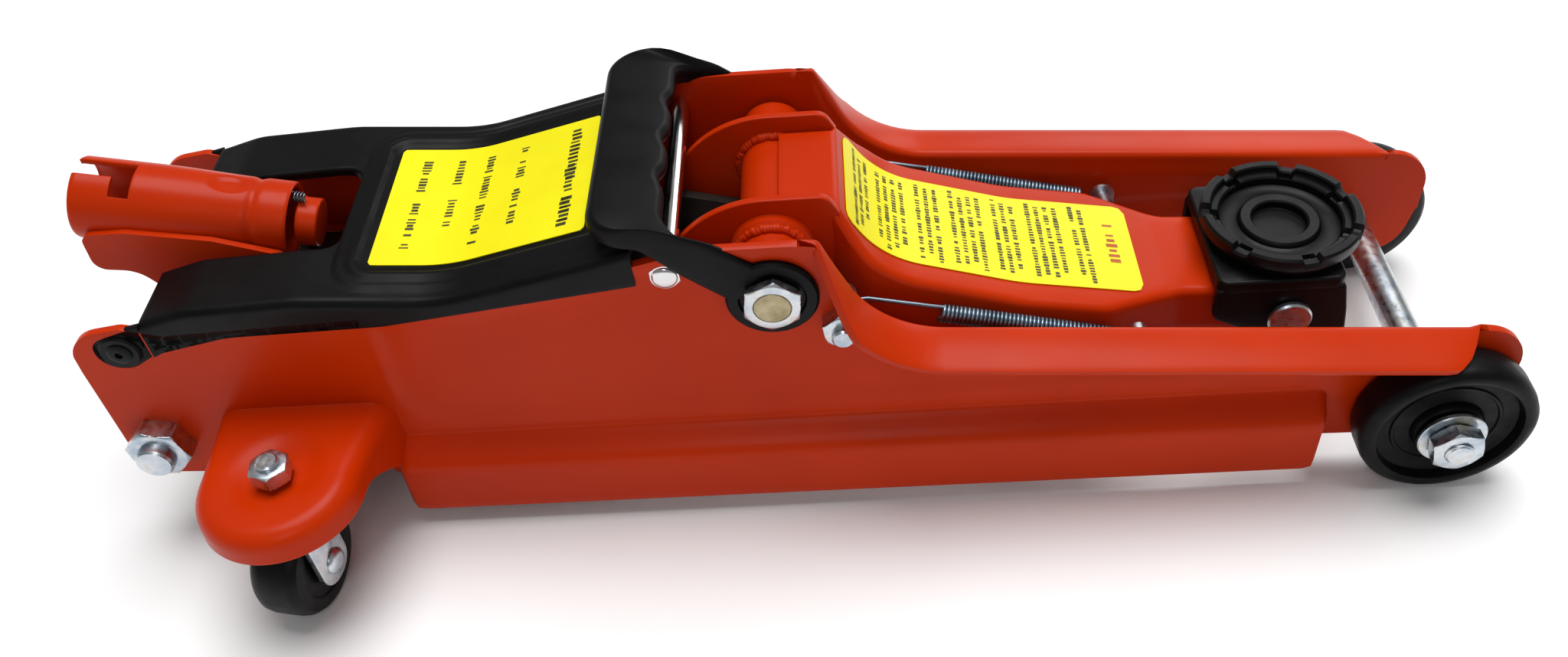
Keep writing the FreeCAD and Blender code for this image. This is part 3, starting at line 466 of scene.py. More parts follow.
def makeStudio():
    look = {"half": 4000, "sheet": "#F9F9F9", "world": "#FFFFFF", "worldStrength": 0.24,
            "sun": 2.75, "sunSoft": 40, "sunFrom": (0.06, 0.2, 1)}
    floor = rawMesh("studio_floor", [at(-look["half"], -look["half"], 0),
                                     at(look["half"], -look["half"], 0),
                                     at(look["half"], look["half"], 0), at(-look["half"], look["half"], 0)],
                    [(0, 1, 2, 3)])
    # Matt seamless paper: nearly white, so the shadow under the jack stays soft and grey.
    paper, tree, shader, where = newMaterial("paper", Roughness=0.9)
    fibre = addNode(tree, "ShaderNodeTexNoise", {"Vector": where, "Scale": 40.0, "Detail": 3.0})
    tone = ramp(tree, (fibre, "Fac"), [(0.3, "#F8F8F8"), (0.7, look["sheet"])])
    tree.links.new(tone.outputs["Color"], shader.inputs["Base Color"])
    floor.data.materials.append(paper)
    world = bpy.data.worlds.new("studio")
    world.use_nodes = True
    world.node_tree.nodes["Background"].inputs["Color"].default_value = srgb(look["world"])
    world.node_tree.nodes["Background"].inputs["Strength"].default_value = look["worldStrength"]
    scene.world = world
    top = bpy.data.lights.new("softTop", "SUN")
    top.energy = look["sun"]
    top.angle = math.radians(look["sunSoft"])
    light = bpy.data.objects.new("softTop", top)
    light.matrix_world = Vector(look["sunFrom"]).to_track_quat("Z", "Y").to_matrix().to_4x4()
    scene.collection.objects.link(light)
    lamps = {
        "strip": {"spot": (-260, -900, 900), "aim": (-230, 0, 60), "width": 350, "power": 1.3},
        "edge": {"spot": (250, 900, 500), "aim": (-230, 0, 60), "width": 500, "power": 2.0},
    }
    for name, lamp in lamps.items():
        data = bpy.data.lights.new(name, "AREA")
        data.size = lamp["width"] * 0.001
        data.energy = lamp["power"]
        light = bpy.data.objects.new(name, data)
        spot, aim = at(*lamp["spot"]), at(*lamp["aim"])
        turned = (spot - aim).to_track_quat("Z", "Y").to_matrix().to_4x4()
        light.matrix_world = Matrix.Translation(spot * 0.001) @ turned
        scene.collection.objects.link(light)


makeCamera()
makeStudio()
print("stage: camera and studio set")

# The lift pivot carries the arm, the carry handle and its own nuts: distance and height.
pivotU, pivotZ = -238.2, 102.2

# Side plates ----------------------------------------------------------------------------------
# Each is one pressed sheet: an upright web, a flange rolled outwards along the top of its
# front half, and a bottom edge joggled outwards.
plate = {
    "out": 48.5, "wall": 3.0, "roll": 2.6, "flange": 20.0, "flangeDip": 3.0,
    "top": [(-487.8, 84), (-487.8, 100.5, 14), (-466, 103.8, 7), (-452, 99.6, 10), (-345, 103.5, 60),
            (-264, 124.7, 26), (-221.5, 124.6, 3), (-201.5, 83.5, 40), (7, 67.6, 3),
            (25.5, 64.5, 17), (24.2, 38)],
    "bottom": [(-487.8, 44), (-486, 27.5, 9), (-460, 26, 10), (-400.6, 25.5, 0), (-400, 24, 0),
               (-392, 23, 0),
               (-390.5, 20, 0), (-386.5, 17, 0), (-385, 9.5, 6), (-377, 9, 0), (-50, 8, 0),
               (-43.5, 8, 5), (-41, 16, 0),
               (20, 14.6, 16), (24.2, 38)],
    "jogRear": -384, "jogFront": -43, "jogSoft": 3.0, "jogOut": 10.0, "jogHigh": 41.0, "jogLow": 30.0,
    "rollStart": -228.0, "rollFull": 46.0, "rollEnd": 7.0, "rollEndSoft": 14.0,
    "panelDeep": 1.0, "panelSoft": 6.0,
}


def panelDepth(u, z):
    """How far the wide shallow panel of the web is pressed in at a place on it."""
    low = 49 + 4 * smooth((u + 380) / 320)
    inside = min(u + 378, -47 - u, z - low)
    corner = Vector((min(u + 378 - 20, 0), min(z - low - 20, 0)))
    if corner.x < 0 and corner.y < 0:
        inside = 20 - corner.length
    return plate["panelDeep"] * smooth(inside / plate["panelSoft"] + 0.5)


def plateSection(u, topRun, bottomRun, topEnd):
    """Points of one upright slice of the sheet, from its bottom edge up and out: (u, across, z)."""
    top = heightAt(topRun, u)
    bottom = heightAt(bottomRun, u)
    slope = Vector((3.0, heightAt(topRun, u + 1.5) - heightAt(topRun, u - 1.5))).normalized()
    normal = Vector((-slope.y, slope.x))
    along = max(0.0, u - plate["rollStart"]) if u < topEnd else 0
    climb = 1.0
    if u < topEnd:
        fallen = 124.6 - top
        climb = min(1.0, (along + fallen * 0.9) / plate["rollFull"]) if u > plate["rollStart"] else 0.0
        start = (u - (plate["rollEnd"] - plate["rollEndSoft"])) / plate["rollEndSoft"]
        climb *= 1 - max(0.0, min(1.0, start)) ** 1.7
    else:
        climb = 0.0
    turn = plate["roll"] * min(1.0, climb * 2.2)
    edge = Vector((u, top))
    root = edge - normal * turn
    out = plate["out"]
    jog = smooth((u - plate["jogRear"]) / plate["jogSoft"] + 0.5)
    jog *= smooth((plate["jogFront"] - u) / plate["jogSoft"] + 0.5)
    points = []
    low, high = plate["jogLow"], plate["jogHigh"]
    if bottom < low - 2 and top > high + 4:
        levels = [bottom + (low - 3 - bottom) * k / 5 for k in range(6)] + [low - 1.5, low,
                low + 1.5, low + 3]
        levels += [low + 3 + (high - low - 6) * k / 3 for k in range(1, 4)] + [high - 1.5, high,
                high + 1.5, high + 3]
    else:
        start = min(bottom, root.y)
        stop = max(min(high + 3, root.y - 1), start)
        levels = [start + (stop - start) * k / 16 for k in range(17)]
    for level in levels:
        share = smooth((high - level) / (high - low))
        points.append((u, out + plate["jogOut"] * jog * share, level))
    base = levels[-1]
    for k in range(1, 25):
        spot = Vector((u, base)).lerp(root, k / 24)
        inset = panelDepth(spot.x, spot.y) * smooth((root - spot).length / 8)
        points.append((spot.x, out - inset, spot.y))
    for k in range(1, 7):
        angle = math.pi / 2 * k / 6
        spot = root + normal * (turn * math.sin(angle))
        points.append((spot.x, out + turn * (1 - math.cos(angle)), spot.y))
    reach = max(0.0, plate["flange"] * climb - turn)
    for k in range(1, 7):
        dip = plate["flangeDip"] * climb * (k / 6) ** 2
        spot = edge - normal * dip
        points.append((spot.x, out + turn + reach * k / 6, spot.y))
    return points


def earPoints(side):
    """Caster ear: a pressed shelf, flat on top, with a round end and a rim turned down."""
    ear = {"u": -417, "y": 84, "radius": 29.1, "top": 60, "round": 7.0, "rimLow": 48.0, "rootLow": 28.0,
           "flare": 7.5, "dish": 2.2, "web": 47.5, "fillet": 4.5}
    rows = []
    flank = 14
    outline = []
    for k in range(flank):
        t = k / flank
        outline.append((-1, ear["web"] + (ear["y"] - ear["web"]) * t, t))
    for k in range(37):
        outline.append((None, math.pi * k / 36, 1))
    for k in range(flank - 1, -1, -1):
        t = k / flank
        outline.append((1, ear["web"] + (ear["y"] - ear["web"]) * t, t))
    for kind, value, t in outline:
        if kind is None:
            inner = Vector((ear["u"], ear["y"]))
            direction = Vector((-math.cos(value), math.sin(value)))
            reach = ear["radius"]
        else:
            inner = Vector((ear["u"], value))
            direction = Vector((kind, 0))
            spread = (1 - t) ** 1.6
            reach = ear["radius"] + (ear["flare"] * spread if kind > 0 else 2.0 * spread)
        low = ear["rimLow"]
        if kind is not None:
            low = ear["rootLow"] + (ear["rimLow"] - ear["rootLow"]) * smooth(t * 1.05)
        row = []
        flat = reach - ear["round"]
        for k in range(13):
            spot = inner + direction * flat * (k / 12)
            away = (spot - Vector((ear["u"], ear["y"] - 3))).length
            height = ear["top"] - ear["dish"] * (1 - smooth((away - 9) / 10))
            near = max(0.0, ear["web"] + 1 + ear["fillet"] - spot.y)
            height += ear["fillet"] - math.sqrt(max(0.0,
                                                    ear["fillet"] ** 2 - min(near, ear["fillet"]) ** 2))
            row.append((spot, height))
        for k in range(1, 9):
            angle = math.pi / 2 * k / 8
            spot = inner + direction * (flat + ear["round"] * math.sin(angle))
            row.append((spot, ear["top"] - ear["round"] * (1 - math.cos(angle))))
        for k in range(1, 7):
            spot = inner + direction * (reach + 0.4 * k / 6)
            row.append((spot, ear["top"] - ear["round"] + (low - ear["top"] + ear["round"]) * k / 6))
        rows.append([at(spot.x, side * spot.y, height) for spot, height in row])
    return rows


def makePlate(name, side):
    topRun = evenRun(softRun(plate["top"], steps=14), 4)
    bottomRun = evenRun(softRun(plate["bottom"], steps=8), 6)
    stations = sorted({round(p.x, 2) for p in topRun + bottomRun} | {round(-487.8 + 0.4 * k,
            2) for k in range(12)}
                      | {round(24.2 - 0.3 * k * k, 2) for k in range(7)})
    kept = [stations[0]]
    for u in stations[1:]:
        if u - kept[-1] > 0.35:
            kept.append(u)
    rows = [[at(u, side * y, z) for u, y, z in plateSection(u, topRun, bottomRun,
                                                            plate["rollEnd"])] for u in kept]
    sheet = gridPiece("web_" + name, rows, flip=side < 0, closed=False)
    thicken(sheet, plate["wall"], 0.5)
    ear = gridPiece("ear_" + name, earPoints(side), flip=side < 0, closed=False)
    thicken(ear, plate["wall"], 0.4)
    return dress(joined("side_plate_shell_" + name, [sheet, ear]), ["side_plate_" + name])


sides = {"left": 1, "right": -1}
for name, side in sides.items():
    makePlate(name, side)
print("stage: side plates made")


# Geometry Nodes -------------------------------------------------------------------------------
def nodeGroup(name, sockets):
    tree = bpy.data.node_groups.new(name, "GeometryNodeTree")
    tree.interface.new_socket("Geometry", in_out="INPUT", socket_type="NodeSocketGeometry")
    for label, kind, value in sockets:
        socket = tree.interface.new_socket(label, in_out="INPUT", socket_type="NodeSocket" + kind)
        if value is not None:
            socket.default_value = value
    tree.interface.new_socket("Geometry", in_out="OUTPUT", socket_type="NodeSocketGeometry")
    return tree, addNode(tree, "NodeGroupInput"), addNode(tree, "NodeGroupOutput")


def runNodes(piece, tree, values):
    """Run a node tree over a piece with these inputs, and keep the result as a plain mesh."""
    modifier = piece.modifiers.new("nodes", "NODES")
    modifier.node_group = tree
    for socket in tree.interface.items_tree:
        if socket.in_out == "INPUT" and socket.name in values:
            modifier[socket.identifier] = values[socket.name]
    return settle(piece)


def makeCoilTree():
    tree, source, sink = nodeGroup("coil", [("Turns", "Float", 10.0), ("Radius", "Float", 0.004),
                                            ("Wire", "Float", 0.0008), ("Length", "Float", 0.05),
                                            ("Material", "Material", None)])
    spiral = addNode(tree, "GeometryNodeCurveSpiral", {"Resolution": 22, "Rotations": (source, "Turns"),
                     "Start Radius": (source, "Radius"), "End Radius": (source, "Radius"),
                     "Height": (source, "Length")})
    wire = addNode(tree, "GeometryNodeCurvePrimitiveCircle", {"Resolution": 10, "Radius": (source, "Wire")})
    swept = addNode(tree, "GeometryNodeCurveToMesh",
                    {"Curve": (spiral, "Curve"), "Profile Curve": (wire, "Curve"),
                                                      "Fill Caps": True})
    coated = addNode(tree, "GeometryNodeSetMaterial",
                     {"Geometry": (swept, "Mesh"), "Material": (source, "Material")})
    tree.links.new(coated.outputs[0], sink.inputs[0])
    return tree


def makePrintTree():
    """Lines of small blocks that stand for print: they follow the edges of the mesh."""
    tree, source, sink = nodeGroup("print", [("Pitch", "Float", 0.002), ("Height", "Float", 0.002),
                                             ("Seed", "Int", 1),
                                             ("Material", "Material", None)])
    lines = addNode(tree, "GeometryNodeMeshToCurve", {"Mesh": (source, "Geometry")})
    spaced = addNode(tree, "GeometryNodeResampleCurve",
                     {"Curve": (lines, "Curve"), "Length": (source, "Pitch")},
                     mode="LENGTH")
    ahead = addNode(tree, "GeometryNodeInputTangent")
    facing = addNode(tree, "GeometryNodeInputNamedAttribute", {"Name": "facing"}, data_type="FLOAT_VECTOR")
    first = addNode(tree, "FunctionNodeAlignRotationToVector", {"Vector": (ahead, "Tangent")}, axis="X")
    second = addNode(tree, "FunctionNodeAlignRotationToVector", {"Rotation": (first, "Rotation"),
                     "Vector": (facing, "Attribute")}, axis="Z", pivot_axis="X")
    block = addNode(tree, "GeometryNodeMeshGrid",
                    {"Size X": (source, "Pitch"), "Size Y": (source, "Height"),
                                                   "Vertices X": 2, "Vertices Y": 2})
    shrink = addNode(tree, "FunctionNodeRandomValue", {"Min": (0.35, 0.6, 1.0), "Max": (0.85, 1.0, 1.0),
                                                       "Seed": (source, "Seed")}, data_type="FLOAT_VECTOR")
    keep = addNode(tree, "FunctionNodeRandomValue", {"Probability": 0.86, "Seed": (source, "Seed")},
                   data_type="BOOLEAN")
    placed = addNode(tree, "GeometryNodeInstanceOnPoints",
                     {"Points": (spaced, "Curve"), "Instance": (block, "Mesh"),
                     "Rotation": (second, "Rotation")})
    tree.links.new(shrink.outputs[0], placed.inputs["Scale"])
    tree.links.new(keep.outputs[3], placed.inputs["Selection"])
    real = addNode(tree, "GeometryNodeRealizeInstances", {"Geometry": (placed, "Instances")})
    inked = addNode(tree, "GeometryNodeSetMaterial",
                    {"Geometry": (real, "Geometry"), "Material": (source, "Material")})
    tree.links.new(inked.outputs[0], sink.inputs[0])
    return tree


def makeWeldTree():
    """Overlapping beads along the edges of the mesh, like the ripples of a weld."""
    tree, source, sink = nodeGroup("weld", [("Pitch", "Float", 0.0016), ("Bead", "Float", 0.0022),
                                            ("Seed", "Int", 1),
                                            ("Material", "Material", None)])
    lines = addNode(tree, "GeometryNodeMeshToCurve", {"Mesh": (source, "Geometry")})
    spaced = addNode(tree, "GeometryNodeResampleCurve",
                     {"Curve": (lines, "Curve"), "Length": (source, "Pitch")},
                     mode="LENGTH")
    ball = addNode(tree, "GeometryNodeMeshIcoSphere", {"Radius": (source, "Bead"), "Subdivisions": 3})
    size = addNode(tree, "FunctionNodeRandomValue", {"Min": (0.8, 0.85, 0.8), "Max": (1.1, 1.2, 1.05),
                                                     "Seed": (source, "Seed")}, data_type="FLOAT_VECTOR")
    placed = addNode(tree, "GeometryNodeInstanceOnPoints",
                     {"Points": (spaced, "Curve"), "Instance": (ball, "Mesh")})
    tree.links.new(size.outputs[0], placed.inputs["Scale"])
    real = addNode(tree, "GeometryNodeRealizeInstances", {"Geometry": (placed, "Instances")})
    coated = addNode(tree, "GeometryNodeSetMaterial",
                     {"Geometry": (real, "Geometry"), "Material": (source, "Material")})
    tree.links.new(coated.outputs[0], sink.inputs[0])
    return tree


coilTree, printTree, weldTree = makeCoilTree(), makePrintTree(), makeWeldTree()


def coil(name, start, axis, radius, wire, length, turns, slot):
    """A close or open wound coil of round wire; lengths in millimetres."""
    piece = rawMesh(name, [(0, 0, 0)], [])
    runNodes(piece, coilTree, {"Turns": turns, "Radius": (radius - wire / 2) * 0.001, "Wire": wire * 0.0005,
                               "Length": length * 0.001, "Material": finish[slotFinish[slot]]})
    turned = frameOf(start, axis)
    turned.translation *= 0.001
    piece.data.transform(turned)
    return piece


def lineMesh(name, lines, facings):
    """Edges, one run per line, with the way that each point faces."""
    verts, edges, ways = [], [], []
    for line, facing in zip(lines, facings):
        start = len(verts)
        verts += [Vector(p) * 0.001 for p in line]
        ways += [tuple(facing)] * len(line)
        edges += [(start + k, start + k + 1) for k in range(len(line) - 1)]
    mesh = bpy.data.meshes.new(name)
    mesh.from_pydata(verts, edges, [])
    layer = mesh.attributes.new("facing", "FLOAT_VECTOR", "POINT")
    for k, way in enumerate(ways):
        layer.data[k].vector = way
    piece = bpy.data.objects.new(name, mesh)
    scene.collection.objects.link(piece)
    return piece


# Cover ----------------------------------------------------------------------------------------
# A moulded shell with a raised frame round its label and a slot for the handle socket.
cover = {
    "out": 51.5, "wall": 2.4, "round": 3.2, "slotFront": -392.0, "slotHalf": 24.0, "slotRound": 8.0,
    "roofRear": -459.0,
    "top": [(-480, 95.8), (-466, 102.7, 10), (-442, 109.7, 30), (-402, 111.6, 60),
            (-352, 107.8, 60), (-300, 120.8, 50),
            (-283.7, 125.2)],
    "low": [(-480, 87.5), (-470, 84, 6), (-455, 91.4, 8), (-430, 97, 40), (-374, 98.3, 60),
            (-283.7, 110.6)],
    "frameAt": (-338, 0), "frameHalf": (45, 36), "frameRound": 6, "floor": 0.5, "ridge": 2.2,
    "terrace": 1.0,
    "slotEdge": 3.2,
}
coverTop = evenRun(softRun(cover["top"], steps=12), 2)
coverLow = evenRun(softRun(cover["low"], steps=8), 4)


def coverRelief(u, y):
    """Height of the moulded frame above the plain roof."""
    du = abs(u - cover["frameAt"][0]) - cover["frameHalf"][0] + cover["frameRound"]
    dy = abs(y) - cover["frameHalf"][1] + cover["frameRound"]
    gap = Vector((max(du, 0), max(dy, 0))).length + min(max(du, dy), 0) - cover["frameRound"]
    rise = cover["floor"] + (cover["ridge"] - cover["floor"]) * smooth((gap + 0.2) / 1.4)
    rise += (cover["terrace"] - cover["ridge"]) * smooth((gap - 3.6) / 1.6)
    return rise - cover["terrace"] * smooth((gap - 8.0) / 2.0)


def coverRow(u):
    """Points across the cover at one station, and which of them bound the slot."""
    top, low = heightAt(coverTop, u), heightAt(coverLow, u)
    out, bend = cover["out"], cover["round"]
    inner = cover["slotHalf"] - cover["slotRound"]
    if u < cover["slotFront"]:
        curve = cover["slotRound"]
        d = min(cover["slotFront"] - u, curve)
        inner = cover["slotHalf"] - curve + math.sqrt(curve ** 2 - (curve - d) ** 2)
    half = [(out, low + (top - bend - low) * k / 5) for k in range(6)]
    half += [(out - bend * (1 - math.cos(a)), top - bend * (1 - math.sin(a)))
             for a in (math.pi / 2 * k / 6 for k in range(1, 6))]
    count = 22
    half += [(out - bend + (inner - out + bend) * k / count, None) for k in range(count + 1)]
    middle = [inner * (1 - k / 11) for k in range(1, 22)] if inner > 0 else []
    across = [(-y, z) for y, z in half] + [(-m, None) for m in middle] + [(y, z) for y, z in half[::-1]]
    row = []
    for y, z in across:
        fade = smooth((out - bend - abs(y)) / 3)
        row.append((u, y, top + coverRelief(u, y) * fade if z is None else z))
    return row, len(half) - 1, len(half) + len(middle)


def makeCover():
    front = cover["top"][-1][0]
    rear = cover["roofRear"]
    stations = [rear + (cover["slotFront"] - rear) * k / 40 for k in range(41)]
    stations = [u for u in stations if cover["slotFront"] - u > 8.5 or u == stations[-1]]
    curve = cover["slotRound"]
    stations = sorted(set(stations + [cover["slotFront"] - curve * (1 - math.cos(math.pi / 2 * k / 8))
                                      for k in range(9)]))
    stations += [cover["slotFront"] + (front - cover["slotFront"]) * k / 72 for k in range(1, 73)]
    rows = []
    for u in stations:
        row, left, right = coverRow(u)
        rows.append([at(*p) for p in row])
    width = len(rows[0])
    verts = [p for row in rows for p in row]
    faces = []
    for i in range(len(rows) - 1):
        for j in range(width - 1):
            if stations[i] < cover["slotFront"] - 1e-6 and left <= j < right:
                continue
            faces.append((i * width + j, (i + 1) * width + j, (i + 1) * width + j + 1, i * width + j + 1))
    rim = [rows[i][left] for i in range(len(rows)) if stations[i] < cover["slotFront"] - 1e-6]
    turn = [i for i, u in enumerate(stations) if abs(u - cover["slotFront"]) < 1e-6][0]
    rim += rows[turn][left:right + 1]
    rim += [rows[i][right] for i in range(len(rows) - 1, -1, -1) if stations[i] < cover["slotFront"] - 1e-6]
    profile = [(0, 0), (0.5, -0.15), (1.0, -0.6), (1.3, -1.3), (1.4, -3.0), (1.5, -cover["slotEdge"])]
    base = len(verts)
    for k, point in enumerate(rim):
        before, after = rim[max(k - 1, 0)], rim[min(k + 1, len(rim) - 1)]
        way = (after - before)
        into = Vector((-way.y, way.x, 0)).normalized()
        if into.dot(at(-440, 0, 0) - point) < 0:
            into = -into
        verts += [point + into * a + Vector((0, 0, b)) for a, b in profile]
    for k in range(len(rim) - 1):
        for j in range(len(profile) - 1):
            a = base + k * len(profile) + j
            faces.append((a, a + 1, a + len(profile) + 1, a + len(profile)))
    shell = rawMesh("cover_roof", verts, faces)
    work = bmesh.new()
    work.from_mesh(shell.data)
    bmesh.ops.remove_doubles(work, verts=work.verts, dist=5e-6)
    loose = [v for v in work.verts if not v.link_faces]
    bmesh.ops.delete(work, geom=loose, context="VERTS")
    bmesh.ops.recalc_face_normals(work, faces=work.faces)
    crown = max(work.faces, key=lambda f: f.calc_center_median().z)
    if crown.normal.z < 0:
        bmesh.ops.reverse_faces(work, faces=work.faces)
    work.to_mesh(shell.data)
    work.free()
    thicken(shell, cover["wall"], 0.4)
    pieces = [shell]
    for side in sides.values():
        lobe = [(-479.6, 85.5, 8), (-479.6, 98.3, 7), (-466, 102.9, 10), (rear, 104.6),
                (rear, 89.6), (-468, 84.2, 9)]
        toPlace = lambda x, y, d, side=side: at(x, side * (cover["out"] - cover["wall"] + d), y)
        pieces.append(flatPiece("lobe", [softRun(lobe, True)], cover["wall"], 0.5, toPlace))
        boss = [(0.01, -1.5), (7.4, -1.5), (7.4, 0.5), (6.6, 1.2), (0.01, 1.2)]
        spot = frameOf(at(-469.5, side * cover["out"], 93.2), (0, side, 0))
        pieces.append(lathe("boss", boss, spot, 40))
    shell = joined("cover_shell", pieces)
    dress(shell, ["cover"])
    heads = []
    for side in sides.values():
        head = [(0.01, 0.6), (1.2, 0.6), (1.4, 1.5), (3.2, 1.6), (4.4, 1.0), (4.4, -0.5)]
        spot = frameOf(at(-469.5, side * (cover["out"] + 0.6), 93.2), (0, side, 0))
        heads.append(lathe("head", head, spot, 32))
    dress(joined("cover_screw_heads", heads), ["cover_screws"])


def surfaceLabel(name, run, half, corner, lift, node, body, slot="yellow_label"):
    """A printed sheet that lies on a run of the surface, with its corners rounded."""
    length = [0.0]
    for a, b in zip(run, run[1:]):
        length.append(length[-1] + (b - a).length)
    total = length[-1]
    rows = []
    for i, point in enumerate(run):
        before, after = run[max(i - 1, 0)], run[min(i + 1, len(run) - 1)]
        way = (after - before).normalized()
        normal = Vector((-way.y, way.x))
        near = min(length[i], total - length[i])
        cut = corner - math.sqrt(max(0.0, corner ** 2 - max(0.0,
                                                            corner - near) ** 2)) if near < corner else 0
        wide = half - cut
        spot = point + normal * lift
        rows.append([at(spot.x, wide * (2 * k / 12 - 1), spot.y) for k in range(13)])
    sheet = gridPiece(name, rows, closed=False)
    thicken(sheet, 0.35)
    layer = sheet.data.uv_layers.new(name="print")
    for loop in sheet.data.loops:
        co = sheet.data.vertices[loop.vertex_index].co * 1000
        layer.data[loop.index].uv = ((co.x - axle.x) / total, co.y / (2 * half) + 0.5)
    return dress(sheet, [node], slot, body)


def printLines(name, run, lines, lift, pitch, height, body, material, seed):
    """Blocks of print; each line is (distance along the run, from y, to y)."""
    length = [0.0]
    for a, b in zip(run, run[1:]):
        length.append(length[-1] + (b - a).length)
    paths, ways = [], []
    for far, start, stop in lines:
        k = max(i for i in range(len(run)) if length[i] <= far)
        k = min(k, len(run) - 2)
        way = (run[k + 1] - run[k]).normalized()
        normal = Vector((-way.y, way.x))
        spot = run[k] + way * (far - length[k]) + normal * lift
        paths.append([at(spot.x, start, spot.y), at(spot.x, stop, spot.y)])
        ways.append((normal.x, 0, normal.y))
    piece = lineMesh(name, paths, ways)
    runNodes(piece, printTree, {"Pitch": pitch * 0.001, "Height": height * 0.001, "Seed": seed,
                                "Material": finish[material]})
    return extra(piece, body, "yellow_label", material)


def cutRun(run, start, stop):
    """The part of a run between two places along the jack."""
    inside = [p for p in run if start < p.x < stop]
    return [Vector((start, heightAt(run, start)))] + inside + [Vector((stop, heightAt(run, stop)))]


makeCover()
coverSheet = cutRun(coverTop, -380, -301.2)
surfaceLabel("cover_label_sheet", coverSheet, 33, 1.5, 0.95, "cover_label", "frame")
printLines("cover_title", coverSheet, [(71.5, 27, -27), (71.0, 27, -27)], 1.02, 2.3, 4.6, "frame",
           "darkInk", 3)
printLines("cover_print", coverSheet, [(50, 25, 8), (50, 0, -18), (36, 25, 1), (36, -4, -24),
                                       (24, 25, 12), (24, 2, -12),
                                       (11, 25, 8), (11, 0, -24)], 1.02, 1.7, 3.6, "frame", "darkInk", 8)
print("stage: cover made")

# Carry handle ---------------------------------------------------------------------------------
handle = {"outer": 53.0, "inner": 49.0, "rear": -298.0, "front": -273.5, "bend": 13.0, "innerBend": 9.0,
          "armDeep": 8.6, "barDeep": 4.4, "eye": 16.0, "start": -246.0,
          "line": [(-300, 131.9), (-279, 132.4, 14), (-262, 120.6, 30), (-240, 103.5)],
          "scallop": 1.9, "scallopHalf": 8.5}


def makeHandle():
    line = evenRun(softRun(handle["line"], steps=12), 1.5)
    outer, inner = handle["outer"], handle["inner"]
    front, rear = handle["front"], handle["rear"]
    half = [((handle["start"], outer), (handle["start"], inner))]
    for k in range(1, 17):
        t = k / 16
        reach = rear + handle["bend"]
        half.append(((handle["start"] + (reach - handle["start"]) * t, outer),
                     (handle["start"] + (front - handle["innerBend"] * -1 - handle["start"]) * t, inner)))
    for k in range(1, 13):
        a = math.pi / 2 * k / 12
        o, i = handle["bend"], handle["innerBend"]
        half.append(((rear + o - o * math.sin(a), outer - o + o * math.cos(a)),
                     (front + i - i * math.sin(a), inner - i + i * math.cos(a))))
    last = half[-1]
    for k in range(1, 31):
        t = k / 31
        y0, y1 = last[0][1], last[1][1]
        yo, yi = y0 * (1 - t), y1 * (1 - t)
        dent = max(smooth(1 - abs(yi - c) / handle["scallopHalf"]) for c in (0, 22))
        half.append(((rear, yo), (front - handle["scallop"] * dent, yi)))
    stations = [((o[0], -o[1]), (i[0], -i[1])) for o, i in half] + [((rear, 0),
            (front - handle["scallop"], 0))] + half[::-1]
    corners = []
    around = 32
    for o, i in stations:
        share = smooth((abs(o[0] - handle["start"]) - 18) / 24)
        deep = handle["armDeep"] + (handle["barDeep"] - handle["armDeep"]) * share
        wide = (Vector(o) - Vector(i)).length / 2
        middle = (Vector(o) + Vector(i)) / 2
        way = (Vector(o) - Vector(i)).normalized()
        row = []
        radius = min(wide, deep) * (0.75 if wide < 4 else 0.85)
        for k in range(around):
            a = math.tau * (k + 0.5) / around
            c, s = math.cos(a), math.sin(a)
            x = math.copysign(wide - radius, c) + radius * c
            z = math.copysign(deep - radius, s) + radius * s
            spot = middle + way * x
            slope = Vector((2.0, heightAt(line, spot.x + 1) - heightAt(line, spot.x - 1))).normalized()
            row.append(at(spot.x - slope.y * z, spot.y, heightAt(line, spot.x) + slope.x * z))
        corners.append(row)
    grip = gridPiece("grip", corners, loop=True)
    pieces = [grip]
    for side in sides.values():
        eye = handle["eye"]
        profile = [(6.1, 0), (eye - 1, 0), (eye, 1), (eye, 3.2), (eye - 0.9, 4.0), (eye - 4.2, 4.0),
                   (eye - 4.9, 3.1), (6.1, 3.1),
                   (6.1, 0)]
        spot = frameOf(at(pivotU, side * inner, pivotZ), (0, side, 0))
        pieces.append(lathe("eye", profile, spot, 72))
    dress(joined("carry_handle_moulding", pieces), ["carry_handle"])


makeHandle()
print("stage: carry handle made")

# Handle socket --------------------------------------------------------------------------------
# A tube that widens towards its mouth, with a bayonet slot in its upper side for the lever's pin.
socket = {
    "u": -415.5, "z": 106.4, "tilt": 12.9, "length": 75.4, "narrow": 14.2, "mouth": 15.0, "wall": 1.9,
    "slotHalf": 3.6, "slotDeep": 21.0, "hookWide": 7.6, "hookTurn": 8.0, "groove": 13.0, "grooveDeep": 0.8,
    "dimple": (22.0, 7.0, 4.2, 1.3),
}


def socketRadius(s, y, top):
    """Outer radius at a distance from the foot; the dimple only shows on top."""
    grow = smooth((s - 14) / 34)
    radius = socket["narrow"] + (socket["mouth"] - socket["narrow"]) * grow
    radius -= socket["grooveDeep"] * math.exp(-((s - socket["groove"]) / 1.6) ** 2)
    centre, along, across, deep = socket["dimple"]
    if top:
        away = math.hypot((s - centre) / along, y / across)
        radius -= deep * (1 - smooth((away - 0.5) / 0.7))
    return radius


